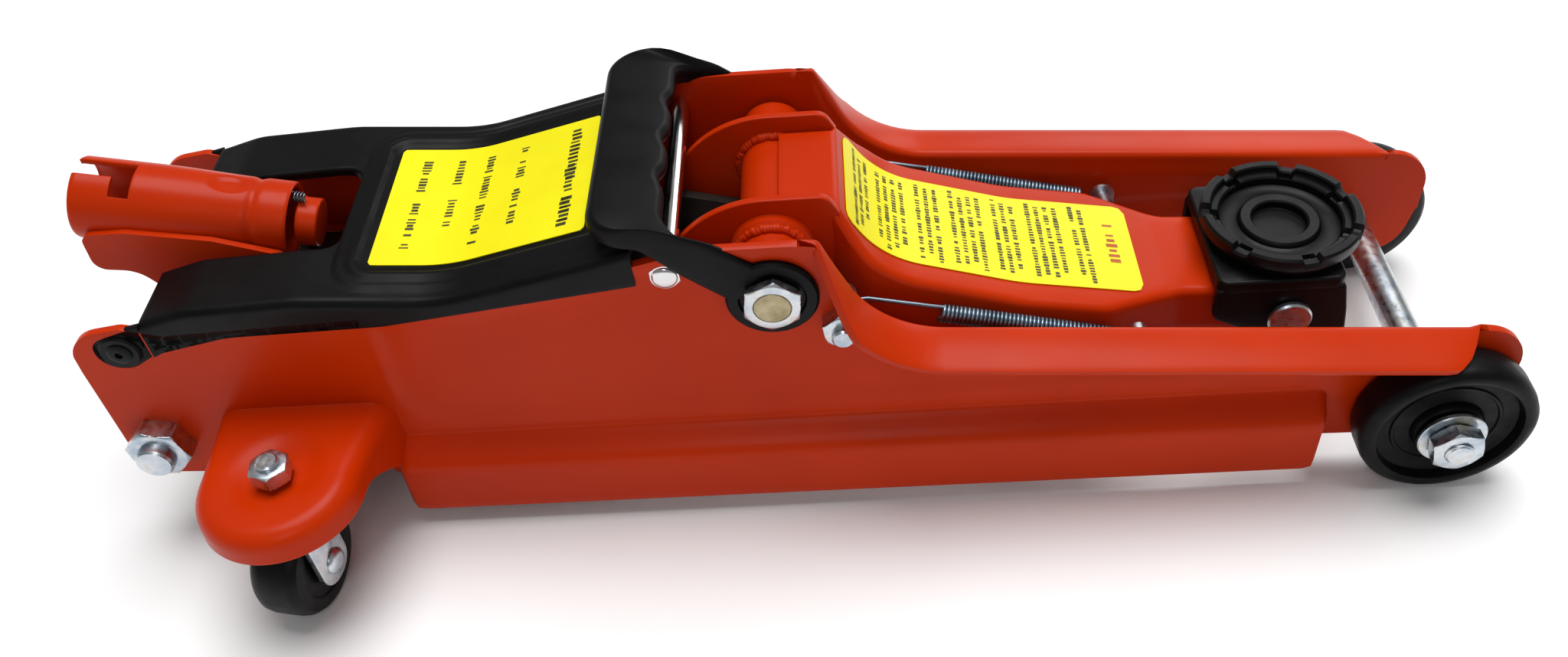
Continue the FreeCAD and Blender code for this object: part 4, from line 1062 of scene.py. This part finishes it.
def makeSocketTube():
    tilt = math.radians(socket["tilt"])
    axis, lift = Vector((-math.cos(tilt), 0, math.sin(tilt))), Vector((math.sin(tilt), 0, math.cos(tilt)))
    foot = at(socket["u"], 0, socket["z"])
    length = socket["length"]
    turns, steps = 120, 76
    verts, faces = [], []
    for i in range(steps + 1):
        s = length * i / steps
        for j in range(turns):
            a = math.tau * j / turns
            y = math.sin(a) * socket["narrow"]
            radius = socketRadius(s, y, math.cos(a) > 0)
            radius -= 0.5 * (1 - smooth((length - s) / 1.2)) + 0.5 * (1 - smooth(s / 1.2))
            verts.append(foot + axis * s + (lift * math.cos(a) + Vector((0, 1, 0)) * math.sin(a)) * radius)
    for i in range(steps):
        gap = length - length * (i + 0.5) / steps
        for j in range(turns):
            a = math.tau * (j + 0.5) / turns
            arc = (a if a < math.pi else a - math.tau) * socket["mouth"]
            straight = abs(arc) < socket["slotHalf"] and gap < socket["slotDeep"]
            hook = socket["slotDeep"] - socket["hookWide"] < gap < socket["slotDeep"]
            if straight or (hook and -socket["slotHalf"] - socket["hookTurn"] < arc < socket["slotHalf"]):
                continue
            k = (j + 1) % turns
            faces.append((i * turns + j, i * turns + k, (i + 1) * turns + k, (i + 1) * turns + j))
    tubeMesh = rawMesh("socket_tube", verts, faces)
    work = bmesh.new()
    work.from_mesh(tubeMesh.data)
    loose = [v for v in work.verts if not v.link_faces]
    bmesh.ops.delete(work, geom=loose, context="VERTS")
    bmesh.ops.recalc_face_normals(work, faces=work.faces)
    probe = min(work.faces, key=lambda f: f.calc_center_median().z)
    if probe.normal.z > 0:
        bmesh.ops.reverse_faces(work, faces=work.faces)
    work.to_mesh(tubeMesh.data)
    work.free()
    thicken(tubeMesh, socket["wall"], 0.25)
    tubeMesh.name = "handle_socket_tube"
    dress(tubeMesh, ["handle_socket"])
    knob = foot - axis * 4.4 + lift * 11.2
    dress(coil("release_coil", knob, axis, 2.1, 0.7, 4.4, 4, "spring_steel"), ["release_spring"])


makeSocketTube()
print("stage: handle socket made")

# Lift arm -------------------------------------------------------------------------------------
arm = {
    "top": [(-235, 117), (-214.6, 117, 3.5), (-200, 92.6, 40), (-150, 76.3, 90), (-95, 66.3, 20),
            (-64, 64.4)],
    "wide": [(-240, 22.4), (-215.5, 22.4), (-214, 25.5, 1), (-203, 34, 8), (-118, 34, 10),
             (-90, 22, 10), (-60, 22)],
    "low": [(-240, 47), (-214, 46.7, 0), (-192, 52, 20), (-60, 44.6)],
    "edge": 3.2, "wall": 3.0,
}
armTop = evenRun(softRun(arm["top"], steps=12), 2.5)


def makeArm():
    wideRun = softRun(arm["wide"], steps=8)
    lowRun = softRun(arm["low"])
    rows = []
    for i, point in enumerate(armTop):
        before, after = armTop[max(i - 1, 0)], armTop[min(i + 1, len(armTop) - 1)]
        way = (after - before).normalized()
        normal = Vector((-way.y, way.x))
        wide = heightAt(wideRun, point.x)
        root = point - normal * arm["edge"]
        low = heightAt(lowRun, root.x)
        half = [(root.x, wide, low + (root.y - low) * k / 6) for k in range(7)]
        for k in range(1, 7):
            a = math.pi / 2 * k / 6
            spot = root + normal * arm["edge"] * math.sin(a)
            half.append((spot.x, wide - arm["edge"] * (1 - math.cos(a)), spot.y))
        flat = wide - arm["edge"]
        half += [(point.x, flat * (1 - k / 6), point.y) for k in range(1, 7)]
        row = [(u, -y, z) for u, y, z in half] + [p for p in half[-2::-1]]
        rows.append([at(*p) for p in row])
    shell = gridPiece("channel", rows, closed=False)
    thicken(shell, arm["wall"], 0.3)
    return shell


def makeArmPieces():
    shell = makeArm()
    dress(shell, ["arm_top_plate"])
    shell.name = "arm_channel"
    for name, side in sides.items():
        lobe = [(-280, 122.8, 41), (-218, 122.8, 6), (-213.9, 115.4, 1), (-213.9, 46.6, 1),
                (-240, 39.2, 20), (-280, 39.2, 38)]
        tail = [(-66, 64.3, 2), (-43, 64.3, 9), (-42, 46.3, 9), (-66, 45, 2)]
        toPlace = lambda x, y, d, side=side: at(x, side * (22.5 + d), y)
        toNose = lambda x, y, d, side=side: at(x, side * (19.05 + d), y)
        pieces = [flatPiece("lobe", [softRun(lobe, True, 24)], 3, 0.5, toPlace),
                  flatPiece("nose", [softRun(tail, True)], 2.9, 0.5, toNose)]
        dress(joined("arm_cheek_plate_" + name, pieces), ["arm_cheek_" + name])
    half = 45.1
    profile = [(6.1, -half), (11.3, -half), (12, -half + 0.7), (12, -30), (14.2, -30), (15, -29),
               (15, -25.6), (12, -25.6), (12, 25.6),
               (15, 25.6), (15, 29), (14.2, 30), (12, 30), (12, half - 0.7), (11.3, half),
               (6.1, half), (6.1, -half)]
    sleeve = lathe("sleeve", profile, frameOf(at(pivotU, 0, pivotZ), (0, 1, 0)), 72)
    dress(sleeve, ["arm_pivot_sleeve"])
    sleeve.name = "arm_pivot_tube"
    circles = []
    for y, radius in ((-22, 12.6), (22, 12.6), (-30.4, 12.6), (30.4, 12.6)):
        circles.append([at(pivotU + radius * math.cos(a), y, pivotZ + radius * math.sin(a))
                        for a in (math.radians(-40 + 260 * k / 30) for k in range(31))])
    weld = lineMesh("arm_weld_beads", circles, [(0, 0, 1)] * len(circles))
    runNodes(weld, weldTree, {"Pitch": 0.0011, "Bead": 0.0019, "Seed": 4,
                              "Material": finish["orangeEnamel"]})
    extra(weld, "lift_arm", "red_paint", angle=80)


makeArmPieces()
armSheet = cutRun(armTop, -211.8, -104.2)
surfaceLabel("arm_label_sheet", armSheet, 24, 4, 0.5, "arm_label", "lift_arm")


def makeArmPrint():
    draws = [3, 4, 3, 4, 3, 4, 2]
    lines, far = [], 6.5
    for k, count in enumerate(draws):
        for row in range(count):
            stop = -21 + (0, 3, 9, 14, 6)[(row * 2 + k * 3) % 5] * (1 if row == count - 1 else 0.3)
            lines.append((far, 21 - (1.5 if row else 0), stop))
            far += 3.55
        far += 3.0
    printLines("arm_print", armSheet, lines, 0.58, 1.5, 2.1, "lift_arm", "darkInk", 21)
    printLines("arm_heading", armSheet, [(far + 3.4, 12, -11)], 0.58, 2.6, 4.4, "lift_arm", "orangeInk", 5)


makeArmPrint()
print("stage: lift arm made")


# Saddle ---------------------------------------------------------------------------------------
saddle = {"u": -51.5, "top": 84.0, "notches": 7, "notchTurn": 20.0, "notchHalf": 6.2, "notchDeep": 2.4}


def makeSaddle():
    def notched(angle, radius, height):
        if radius < 21 or height < saddle["top"] - 3:
            return radius, height
        step = 360 / saddle["notches"]
        away = (math.degrees(angle) - saddle["notchTurn"] + step / 2) % step - step / 2
        share = 1 - smooth((abs(away) - saddle["notchHalf"] + 1.0) / 2.2)
        return radius, height - saddle["notchDeep"] * share

    profile = [(0.01, 75.6), (9.4, 75.6), (10, 76.1), (10, 78.8), (10.6, 79.4), (13.9, 79.4),
               (14.6, 78.8), (15.0, 77.4),
               (16, 77.0), (21.0, 77.0), (21.8, 77.6), (22.0, 80.4), (22.6, 81.0), (24.6, 81.1),
               (25.0, 81.6), (25.1, 83.4),
               (25.7, 84), (28.2, 84), (29, 83.2), (29, 79.0), (28.6, 78.4), (27.4, 77.6),
               (26.6, 74.8), (25.8, 74.1),
               (8.2, 74.1), (8, 73.8), (8, 67.6), (7.4, 67.1), (0.01, 67.1)]
    disc = lathe("saddle_disc", profile, frameOf(at(saddle["u"], 0, 0), (0, 0, 1)), 168, notched)
    dress(disc, ["saddle"])


def makeSaddleBase():
    rear, front = saddle["u"] - 27.5, saddle["u"] + 18.5
    top = [(rear, -28, 4), (front, -28, 4), (front, 28, 4), (rear, 28, 4)]
    pieces = [flatPiece("top", [softRun(top, True), ring(saddle["u"], 0, 8.1)], 6, 1.2,
                        lambda x, y, d: at(x, y, 68 + d))]
    linkU, linkZ = saddle["u"] + 15.5, 40.0
    cheek = [(rear, 70, 2), (front, 70, 2), (front + 2.5, 58, 8), (linkU + 8, linkZ, 6),
             (linkU + 4, linkZ - 7.4, 5.5),
             (linkU - 6, linkZ - 7.4, 5.5), (saddle["u"] - 8, 46, 6), (rear, 56, 4)]
    for side in (1, -1):
        toPlace = lambda x, y, d, side=side: at(x, side * (24 + d), y)
        pieces.append(flatPiece("cheek", [softRun(cheek, True)], 3.95, 1.0, toPlace))
    dress(joined("saddle_base_casting", pieces), ["saddle_base"])
    ends = []
    for side in (1, -1):
        profile = [(0.01, 22), (6, 22), (6, 28.1), (7.2, 28.1), (8, 28.9), (8, 30.3), (7.3, 31), (0.01, 31)]
        ends.append(lathe("pin", profile, frameOf(at(saddle["u"], 0, 56), (0, side, 0)), 48))
    dress(joined("saddle_pin_ends", ends), ["saddle_base_pin"])


makeSaddle()
makeSaddleBase()
print("stage: saddle made")

# Front axle and wheels ------------------------------------------------------------------------
wheel = {"inner": 51.0}


def makeFront():
    for name, side in sides.items():
        profile = [(6.08, 0), (25, 0), (28.6, 0.5), (30.4, 2.2), (31, 5), (31, 12), (30.4, 14.6),
                   (28.9, 16.1), (27.4, 16.5),
                   (26.2, 16.5), (25.4, 15.9), (24.6, 12.4), (23.6, 11.6), (19.6, 11.4),
                   (19.2, 12.0), (18.2, 12.0), (17.8, 11.4),
                   (13.6, 11.4), (12.8, 12.0), (12.4, 14.4), (11.8, 15.2), (6.08, 15.2), (6.08, 0)]
        spot = frameOf(at(0, side * wheel["inner"], 31), (0, side, 0))
        dress(lathe("front_wheel_disc_" + name, profile, spot, 96), ["front_wheel_" + name])
    washers, nuts = [], []
    for side in (1, -1):
        spot = frameOf(at(0, side * 48.6, 31), (0, side, 0))
        washers.append(lathe("washer", [(6.1, 0), (8.7, 0), (9, 0.3), (9, 1.9), (8.7, 2.2),
                                        (6.1, 2.2), (6.1, 0)], spot, 48))
        spot = frameOf(at(0, side * 67.7, 31), (0, side, 0))
        washers.append(lathe("washer", [(6.1, 0), (11.6, 0), (12, 0.4), (12, 1.6), (11.6, 2),
                                        (6.1, 2), (6.1, 0)], spot, 64))
        nuts.append(hexPiece("nut", 17, 6, frameOf(at(0, side * 70.2, 31), (0, side, 0), 12), 5.1))
    dress(joined("front_axle_plain_washers", washers), ["front_axle_washers"], angle=30)
    dress(joined("front_axle_hex_nuts", nuts), ["front_axle_nuts"], angle=30)
    half = 77.4
    profile = [(0.01, -half), (4.2, -half), (5, -half + 0.8), (5, -70), (6, -70), (6, 70), (5, 70),
               (5, half - 0.8), (4.2, half),
               (0.01, half)]
    rod = lathe("rod", profile, frameOf(at(0, 0, 31), (0, 1, 0)), 64)
    threads = [coil("thread", at(0, side * 69.6, 31), (0, side, 0), 5.1, 0.8, 7.4, 7.4 / 1.25,
                    "zinc") for side in (1, -1)]
    dress(joined("front_axle_bar", [rod] + threads), ["front_axle"])


makeFront()

# Casters --------------------------------------------------------------------------------------
caster = {"u": -417.0, "y": 84.0, "turn": 11.0, "trail": 6.5, "axle": 21.0, 
          "half": 9.5, "plate": 2.5,
          "roof": 49.5}


def makeCaster(name, side):
    angle = -caster["turn"] if side < 0 else 180 + caster["turn"]
    own = Matrix.Translation(at(caster["u"], side * caster["y"],
                                0)) @ Matrix.Rotation(math.radians(angle), 4, "Z")
    half, thick, roof = caster["half"] + 1, caster["plate"], caster["roof"]
    trail, axleZ = -caster["trail"], caster["axle"]
    bend = 2.4
    roofPlan = [(-half - thick + bend, -17, 4), (half + thick - bend, -17, 4), (half + thick - bend, 14, 4),
                (-half - thick + bend, 14, 4)]
    pieces = [flatPiece("roof", [softRun(roofPlan, True), ring(0, 0, 4.1)], thick, 0.5,
                        lambda x, y, d: own @ Vector((x, y, roof - thick + d)))]
    cheek = [(trail - 9, roof - bend, 0), (trail + 16, roof - bend, 2), (trail + 8.6, axleZ + 8, 8),
             (trail + 8.6, axleZ - 9, 8),
             (trail - 8.6, axleZ - 9, 8)]
    for sign in (1, -1):
        toPlace = lambda x, y, d, sign=sign: own @ Vector((sign * (half + d), x, y))
        pieces.append(flatPiece("cheek", [softRun(cheek, True), ring(trail, axleZ, 3.1)], thick,
                                0.4, toPlace))
        rows = []
        for k in range(9):
            a = math.pi / 2 * k / 8
            out = half + thick - bend + bend * math.sin(a)
            up = roof - bend + bend * math.cos(a)
            rows.append([own @ Vector((sign * out, v, up)) for v in (-15.5, -12, -6, 0, 6, 9.4)])
        corner = gridPiece("corner", rows, flip=sign > 0, closed=False)
        pieces.append(thicken(corner, 2.3, 0.2))
    dress(joined("caster_yoke_" + name, pieces), ["caster_fork_" + name])
    w = caster["half"]
    profile = [(3.1, -w), (6, -w), (6.6, -w + 0.8), (13.6, -w + 0.8), (14.2, -w + 0.2), (16.2, -w),
               (19, -w + 0.5), (20.4, -w + 2.2), (21, -w + 5),
               (21, w - 5), (20.4, w - 2.2), (19, w - 0.5), (16.2, w), (14.2, w - 0.2),
               (13.6, w - 0.8), (6.6, w - 0.8), (6, w), (3.1, w),
               (3.1, -w)]
    lying = own @ frameOf(Vector((0, trail, axleZ)), (1, 0, 0))
    dress(lathe("caster_tyre_" + name, profile, lying, 88), ["caster_wheel_" + name])
    reach = half + thick
    head = [(0.01, -reach - 2), (2.6, -reach - 2), (4.2, -reach - 1.6), (5, -reach - 0.6),
            (5, -reach - 0.05), (3, -reach - 0.05),
            (3, reach + 0.05), (5, reach + 0.05), (5, reach + 0.6), (4.2, reach + 1.6),
            (2.6, reach + 2), (0.01, reach + 2)]
    dress(lathe("caster_rivet_" + name, head, lying, 48), ["caster_axle_" + name])
    race = [(4.1, 49.7), (14.4, 49.7), (15, 50.4), (15, 51.8), (13.4, 52.6), (13.2, 53.6),
            (13.4, 54.6), (14.2, 55.2), (13, 56.8), (4.1, 56.9),
            (4.1, 49.7)]
    bolt = [(0.01, 43), (6.4, 43), (7, 43.6), (7, 46.9), (4, 46.9), (4, 67.9), (3.4, 68.5), (0.01, 68.5)]
    upright = own.copy()
    thread = coil("thread", own @ Vector((0, 0, 60)), (0, 0, 1), 4.05, 0.7, 8.0, 6.4, "zinc")
    cap = hexPiece("cap", 13, 6.4, own @ frameOf(Vector((0, 0, 60.1)), (0, 0, 1), 20), 4.06)
    return lathe("race", race, upright, 64), joined("bolt", [lathe("bolt", bolt, upright, 40), thread]), cap


pairs = [makeCaster(name, side) for name, side in sides.items()]
for node, name, pair in zip(("caster_races", "caster_bolts", "caster_nuts"),
                            ("races", "kingbolts", "top_nuts"), zip(*pairs)):
    dress(joined("caster_" + name + "_pair", list(pair)), [node], angle=32)
print("stage: wheels made")

# Bolts, nuts and rods through the frame -------------------------------------------------------
def makeFasteners():
    pivotNuts, rodNuts, unitBolts, springBolts, rivets = [], [], [], [], []
    for side in (1, -1):
        way = (0, side, 0)
        pivotNuts.append(hexPiece("nut", 19, 3.8, frameOf(at(pivotU, side * 53.3, pivotZ), way, -6), 6.68))
        spot = at(-273.5, side * 48.55, 113.5)
        rodNuts.append(hexPiece("nut", 10, 2.6, frameOf(spot, way, 5)))
        dome = [(4.5, 0), (4.5, 2.7)]
        dome += [(4.5 * math.cos(a), 2.7 + 1.4 * math.sin(a))
                 for a in (math.pi / 2 * k / 6 for k in range(1, 6))]
        rodNuts.append(lathe("dome", dome + [(0.01, 4.15)], frameOf(spot, way), 40))
        spot = at(-473, side * 48.55, 46)
        unitBolts.append(hexPiece("hex", 21, 11, frameOf(spot, way, 16)))
        stub = [(0.01, -12), (7, -12), (7, 14.6), (6.2, 15.6), (0.01, 15.6)]
        unitBolts.append(lathe("stub", stub, frameOf(spot, way), 48))
        springSpot = at(-215, side * 48.55, 88)
        springBolts.append(hexPiece("hex", 13, 8.0, frameOf(springSpot, way, 10)))
        flange = [(0.01, 0), (7.4, 0), (7.4, 1.0), (7.0, 1.4), (0.01, 1.4)]
        springBolts.append(lathe("flange", flange, frameOf(springSpot, way), 48))
        stub = [(0.01, -12), (5.5, -12), (5.5, -10.6), (4, -10.4), (4, 10.8), (3.3, 11.5), (0.01, 11.5)]
        springBolts.append(lathe("stub", stub, frameOf(springSpot, way), 40))
        dome = [(4 * math.cos(a), 1.9 * math.sin(a)) for a in (math.pi / 2 * k / 6 for k in range(6))]
        rivets.append(lathe("dome", dome + [(0.01, 1.9)], frameOf(at(-79, side * 58.55, 20), way), 32))
    dress(joined("pivot_hex_nuts", pivotNuts), ["pivot_nuts"], angle=32)
    dress(joined("tie_rod_dome_nuts", rodNuts), ["tie_rod_nuts"], angle=32)
    dress(joined("unit_hex_bolts", unitBolts), ["unit_bolts"], angle=32)
    dress(joined("spring_anchor_bolts", springBolts), ["spring_bolts"], angle=32)
    dress(joined("lip_round_rivets", rivets), ["lip_rivets"])
    end = 57.3
    neck = 53.4
    profile = [(0.01, -end), (6.2, -end), (6.6, -end + 0.4), (6.6, -neck), (6, -neck), (6, neck),
               (6.6, neck),
               (6.6, end - 0.4), (6.2, end), (0.01, end)]
    dress(lathe("pivot_shaft_bar", profile, frameOf(at(pivotU, 0, pivotZ), (0, 1, 0)), 56),
          ["pivot_shaft"], material="strawZinc")


makeFasteners()

# Springs --------------------------------------------------------------------------------------
spring = {"bolt": (-215, 88), "stud": (-108, 60), "side": 39.8, "radius": 3.5, "wire": 1.5,
          "lead": 9.0, "reach": 36.0}


def tube(name, path, radius, segments=10):
    """Round wire along a path of points in the frame's millimetres."""
    rows = []
    previous = None
    for k, point in enumerate(path):
        way = (path[min(k + 1, len(path) - 1)] - path[max(k - 1, 0)]).normalized()
        if previous is None:
            previous = way.orthogonal().normalized()
        previous = (previous - way * previous.dot(way)).normalized()
        other = way.cross(previous)
        rows.append([point + (previous * math.cos(a) + other * math.sin(a)) * radius
                     for a in (math.tau * j / segments for j in range(segments))])
    return gridPiece(name, rows, loop=True)


def makeReturnSprings():
    bolt, stud = Vector(spring["bolt"]), Vector(spring["stud"])
    way = (stud - bolt).normalized()
    span = (stud - bolt).length
    wire = spring["wire"]
    for name, side in sides.items():
        y = side * spring["side"]
        axis = Vector((way.x, 0, way.y))
        start = at(bolt.x, y, bolt.y)
        length = span - spring["reach"] - spring["lead"] - 1
        body = coil("coil", start + axis * spring["reach"], axis, spring["radius"], wire, length,
                    length / wire, "spring_steel")
        upward = Vector((-axis.z, 0, axis.x))
        loop = [start + axis * (spring["reach"] + 1) + upward * (spring["radius"] - wire / 2)]
        loop += [start + axis * (spring["reach"] - 4) + upward * 2.6, start + axis * 9 + upward * 2.4]
        loop += [start + (axis * math.cos(a) + upward * math.sin(a)) * (4.1 + wire / 2)
                 for a in (math.radians(12 + 318 * k / 28) for k in range(29))]
        eye = tube("eye", loop, wire / 2)
        dress(joined("return_coil_" + name, [body, eye]), ["return_spring_" + name])
        pin = 3.1 + wire / 2
        end = at(stud.x, y, stud.y)
        hook = [end - axis * (spring["lead"] + 0.6) - upward * 0.2,
                end - axis * (spring["lead"] - 2) - upward * 2.4]
        hook += [end + (axis * math.sin(a) - upward * math.cos(a)) * pin
                 for a in (math.radians(-20 + 118 * k / 14) for k in range(15))]
        bend = tube("hook", hook, wire / 2)
        core = tube("core", [end - axis * (43 - 34 * k / 4) for k in range(5)], 1.15)
        dress(joined("return_hook_" + name, [bend, core]), ["spring_hook_" + name])


makeReturnSprings()
dress(coil("pump_coil", at(-455, 0, 75.0), (0, 0, 1), 7.9, 1.5, 7.2, 3.2, "spring_steel"), ["pump_spring"])
print("stage: springs made")
